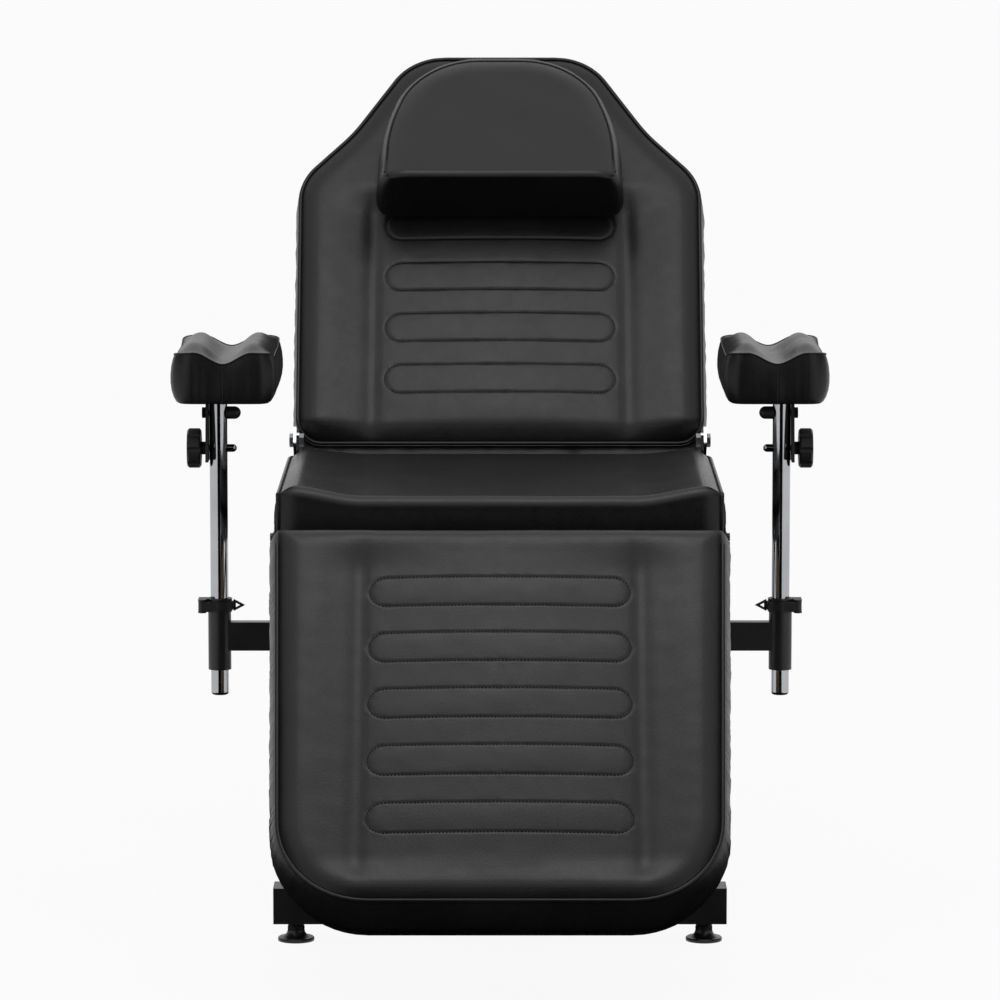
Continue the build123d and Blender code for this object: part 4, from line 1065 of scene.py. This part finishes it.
def makeArmPad(side, sign):
    half, length, corner = armPad["seamHalf"], armPad["seamLength"], armPad["corner"]
    line = sideLine(((half, -length), (half, length)), (corner, corner), 0, armPad["arcSteps"])
    rows = spacedPlaces(-length, length, armPad["step"], [], [s for _, s in line])
    columns = np.sin(np.linspace(-math.pi / 2, math.pi / 2, armPad["columns"]))
    x, y = outlineGrid(line, rows, columns)
    wave = softWaves(71 + sign, 60)
    shell = startShell(x, y, armPadTop(x, y) + 0.6 * wave(x, y))
    seam = shell["points"][shell["rings"][0]]
    out = outwardFrom(seam, passes=3, blend=0.6)
    scale = 1 - (1 - armPad["endSwell"]) * np.abs(out[:, 1]) ** 1.5
    gathers = puckerFor(79 + sign, 0.7)(runAlong(seam[:, :2]))
    foot = -armPad["board"]
    for offset, share in armPad["boxing"]:
        reach = offset * scale + gathers * (2 * share * (1 - share) + 0.9 * share ** 3)
        addRing(shell, seam[:, :2] + out * reach[:, None], seam[:, 2] * (1 - share) + foot * share)
    sideRings = list(shell["rings"])
    outer, inner, cavity = armPad["underShares"]
    gap = foot - armPad["gap"]
    for share, level in ((outer, foot - armPad["coverSag"]), (inner, foot - armPad["cover"]), (inner, gap),
                         (cavity, gap), (cavity, armPad["gapAbove"])):
        addRing(shell, seam[:, :2] * (share, (1 + share) / 2), level)
    closeShell(shell)
    body = f"arm_pad_{side}"
    boardTop = armPad["bottom"] + armPad["board"]
    place = Matrix.Translation((sign * armPad["x"] * mm, armPad["y"] * mm + rearShift, boardTop * mm))
    pad = addPiece(f"arm_pad_cover_{side}", toFrame(shell["points"], place, 1), shell["faces"], "upholstery")
    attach(pad, body)
    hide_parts(f"arm_cushion_{side}")

    def lineDown(column, rings):
        return toFrame([shell["points"][ring[column]] for ring in rings], place, 1)

    path = [(a + ox * 0.4, b + oy * 0.4, c) for (a, b, c), (ox, oy) in zip(seam, out)]
    cord, cordFaces = tubeMesh(toFrame(path, place, 1), armPad["cord"] * mm, 8, closed=True)
    frontColumn = len(columns) // 2
    rearColumn = frontColumn + len(columns) + len(rows) - 2
    for column in (frontColumn, rearColumn):
        joinMesh(cord, cordFaces, *tubeMesh(lineDown(column, sideRings), armPad["seamCord"] * mm, 8))
    addTrim(f"arm_pad_seam_{side}", cord, cordFaces, "welt", body)
    threads, threadFaces = [], []
    for column, facing in ((frontColumn + 2, -1), (rearColumn + 2, 1)):
        down = lineDown(column, sideRings[1:-1])
        joinMesh(threads, threadFaces, *stitchMesh(down, Vector((0, facing, 0)), armStitch))
    addTrim(f"arm_pad_stitches_{side}", threads, threadFaces, "thread", body)
    print("arm pad", side, len(pad.data.polygons), "faces")


for side, sign in (("left", 1), ("right", -1)):
    makeArmPad(side, sign)


# Domed plastic cap over the inner end of each tilt bolt
boltCap = {
    "radius": 8.9,
    "straight": 10,
    "start": 12.4,
    "height": 716,
    "lip": 1.1,
    "lipHeight": 1.6,
}


def makeBoltCap(side, sign):
    bpy.ops.mesh.primitive_uv_sphere_add(segments=32, ring_count=16, radius=boltCap["radius"] * mm,
                                         location=(0, 0, 0))
    cap = bpy.context.object
    cap.name = f"arm_bolt_cap_{side}"
    bpy.ops.object.mode_set(mode="EDIT")
    bpy.ops.mesh.select_all(action="DESELECT")
    bpy.ops.object.mode_set(mode="OBJECT")
    for vertex in cap.data.vertices:
        vertex.select = vertex.co.z < -0.0001
    bpy.ops.object.mode_set(mode="EDIT")
    bpy.ops.mesh.select_mode(type="VERT")
    bpy.ops.mesh.delete(type="VERT")
    bpy.ops.mesh.select_all(action="DESELECT")
    bpy.ops.mesh.select_non_manifold()
    bpy.ops.mesh.extrude_region_move(TRANSFORM_OT_translate={"value": (0, 0, -boltCap["straight"] * mm)})
    bpy.ops.mesh.extrude_region_move()
    bpy.ops.transform.resize(value=(1 + boltCap["lip"] / boltCap["radius"],) * 2 + (1,))
    bpy.ops.mesh.extrude_region_move(TRANSFORM_OT_translate={"value": (0, 0, -boltCap["lipHeight"] * mm)})
    bpy.ops.mesh.edge_face_add()
    bpy.ops.mesh.select_all(action="SELECT")
    bpy.ops.mesh.normals_make_consistent(inside=False)
    bpy.ops.object.mode_set(mode="OBJECT")
    post = nodes[f"arm_post_{side}"]
    middle = sum((Vector(c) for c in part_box(post.name)), Vector()) / 2
    inward = sign * (boltCap["start"] + boltCap["straight"]) * mm
    place = Vector((middle.x - inward, middle.y, boltCap["height"] * mm))
    turn = Matrix.Rotation(math.radians(-90 * sign), 4, "Y")
    cap.data.transform(Matrix.Translation(place) @ turn)
    bpy.ops.object.shade_smooth_by_angle(angle=math.radians(40))
    dress(cap, "black_plastic")
    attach(cap, f"arm_post_{side}")
    deselectAll()


for side, sign in (("left", 1), ("right", -1)):
    makeBoltCap(side, sign)
print("caps made")


# Stage: a near-white floor with a soft shadow, white surroundings, an overhead softbox, lengths in m
studio = {
    "floorRadius": 90,
    "floorWhite": 0.85,
    "floorShare": 0.92,
    "surroundings": 0.6,
    "boxWatts": 14,
    "boxSize": (1.3, 1.1),
    "boxPlace": (0, -0.6, 2.8),
}
# Dark cards that only gloss sees: place, turn about X and Z in degrees, and size
darkCards = {
    "front": ((0, -2.6, 1.0), (90, 0), (2.0, 2.0)),
    "carpet": ((0, -0.9, 0.003), (0, 0), (2.2, 3.4)),
    "left": ((3.2, -0.4, 2.3), (90, 90), (4.6, 2.4)),
    "right": ((-3.2, -0.4, 2.3), (90, 90), (4.6, 2.4)),
}
# The camera stands before the back's pivot and looks down a little
viewpoint = {
    "distance": 7.7,
    "height": 1.548,
    "downTilt": 7.3,
    "lens": 194.4,
    "sensor": 36,
}


def seesBackground(tree):
    path = addNode(tree, "ShaderNodeLightPath")
    either = mathNode(tree, "MAXIMUM", path.outputs["Is Camera Ray"], path.outputs["Is Glossy Ray"])
    return mathNode(tree, "MAXIMUM", either, path.outputs["Is Transmission Ray"])


def makeStage():
    bpy.ops.mesh.primitive_circle_add(vertices=96, radius=studio["floorRadius"], fill_type="NGON",
                                      location=(0, 0, 0))
    floor = bpy.context.object
    floor.name = "studio_floor"
    material, tree, shader = newMaterial("paleFloor")
    setInputs(shader, Base_Color=(studio["floorWhite"],) * 3 + (1,), Roughness=0.9, Specular_IOR_Level=0.1)
    glow = addNode(tree, "ShaderNodeEmission")
    setInputs(glow, Color=(1, 1, 1, 1), Strength=1.0)
    mix = addNode(tree, "ShaderNodeMixShader")
    share = mathNode(tree, "MULTIPLY", seesBackground(tree), studio["floorShare"])
    tree.links.new(share, mix.inputs["Fac"])
    tree.links.new(shader.outputs["BSDF"], mix.inputs[1])
    tree.links.new(glow.outputs["Emission"], mix.inputs[2])
    tree.links.new(mix.outputs["Shader"], tree.nodes["Material Output"].inputs["Surface"])
    floor.data.materials.append(material)
    deselectAll()


def makeDarkCards():
    material, _, shader = newMaterial("darkCard")
    setInputs(shader, Base_Color=(0.006, 0.006, 0.006, 1), Roughness=0.9, Specular_IOR_Level=0.0)
    for name, (place, (tilt, turn), size) in darkCards.items():
        rotation = (math.radians(tilt), 0, math.radians(turn))
        bpy.ops.mesh.primitive_plane_add(size=1, location=place, rotation=rotation)
        card = bpy.context.object
        card.name = f"dark_card_{name}"
        card.scale = (*size, 1)
        card.data.materials.append(material)
        card.visible_camera = False
        card.visible_diffuse = False
        card.visible_transmission = False
        card.visible_shadow = False
    deselectAll()


def makeWorld():
    world = bpy.data.worlds.new("whiteStudio")
    bpy.context.scene.world = world
    world.use_nodes = True
    tree = world.node_tree
    tree.nodes.clear()
    out = addNode(tree, "ShaderNodeOutputWorld")
    back = addNode(tree, "ShaderNodeBackground")
    setInputs(back, Color=(1, 1, 1, 1))
    lift = mathNode(tree, "MULTIPLY", seesBackground(tree), 1 - studio["surroundings"])
    level = mathNode(tree, "ADD", lift, studio["surroundings"])
    tree.links.new(level, back.inputs["Strength"])
    tree.links.new(back.outputs["Background"], out.inputs["Surface"])


def makeLamp():
    bpy.ops.object.light_add(type="AREA", location=studio["boxPlace"])
    lamp = bpy.context.object
    lamp.name = "overhead_softbox"
    lamp.data.shape = "RECTANGLE"
    lamp.data.size, lamp.data.size_y = studio["boxSize"]
    lamp.data.energy = studio["boxWatts"]
    deselectAll()


def makeCamera():
    data = bpy.data.cameras.new("camera")
    camera = bpy.data.objects.new("camera", data)
    bpy.context.scene.collection.objects.link(camera)
    camera.location = (0, rearShift - viewpoint["distance"], viewpoint["height"])
    camera.rotation_euler = (math.radians(90 - viewpoint["downTilt"]), 0, 0)
    data.lens = viewpoint["lens"]
    data.sensor_width = viewpoint["sensor"]
    bpy.context.scene.camera = camera


makeStage()
makeDarkCards()
makeWorld()
makeLamp()
makeCamera()
bpy.context.scene.view_settings.view_transform = "Standard"
print("stage, light and camera made")
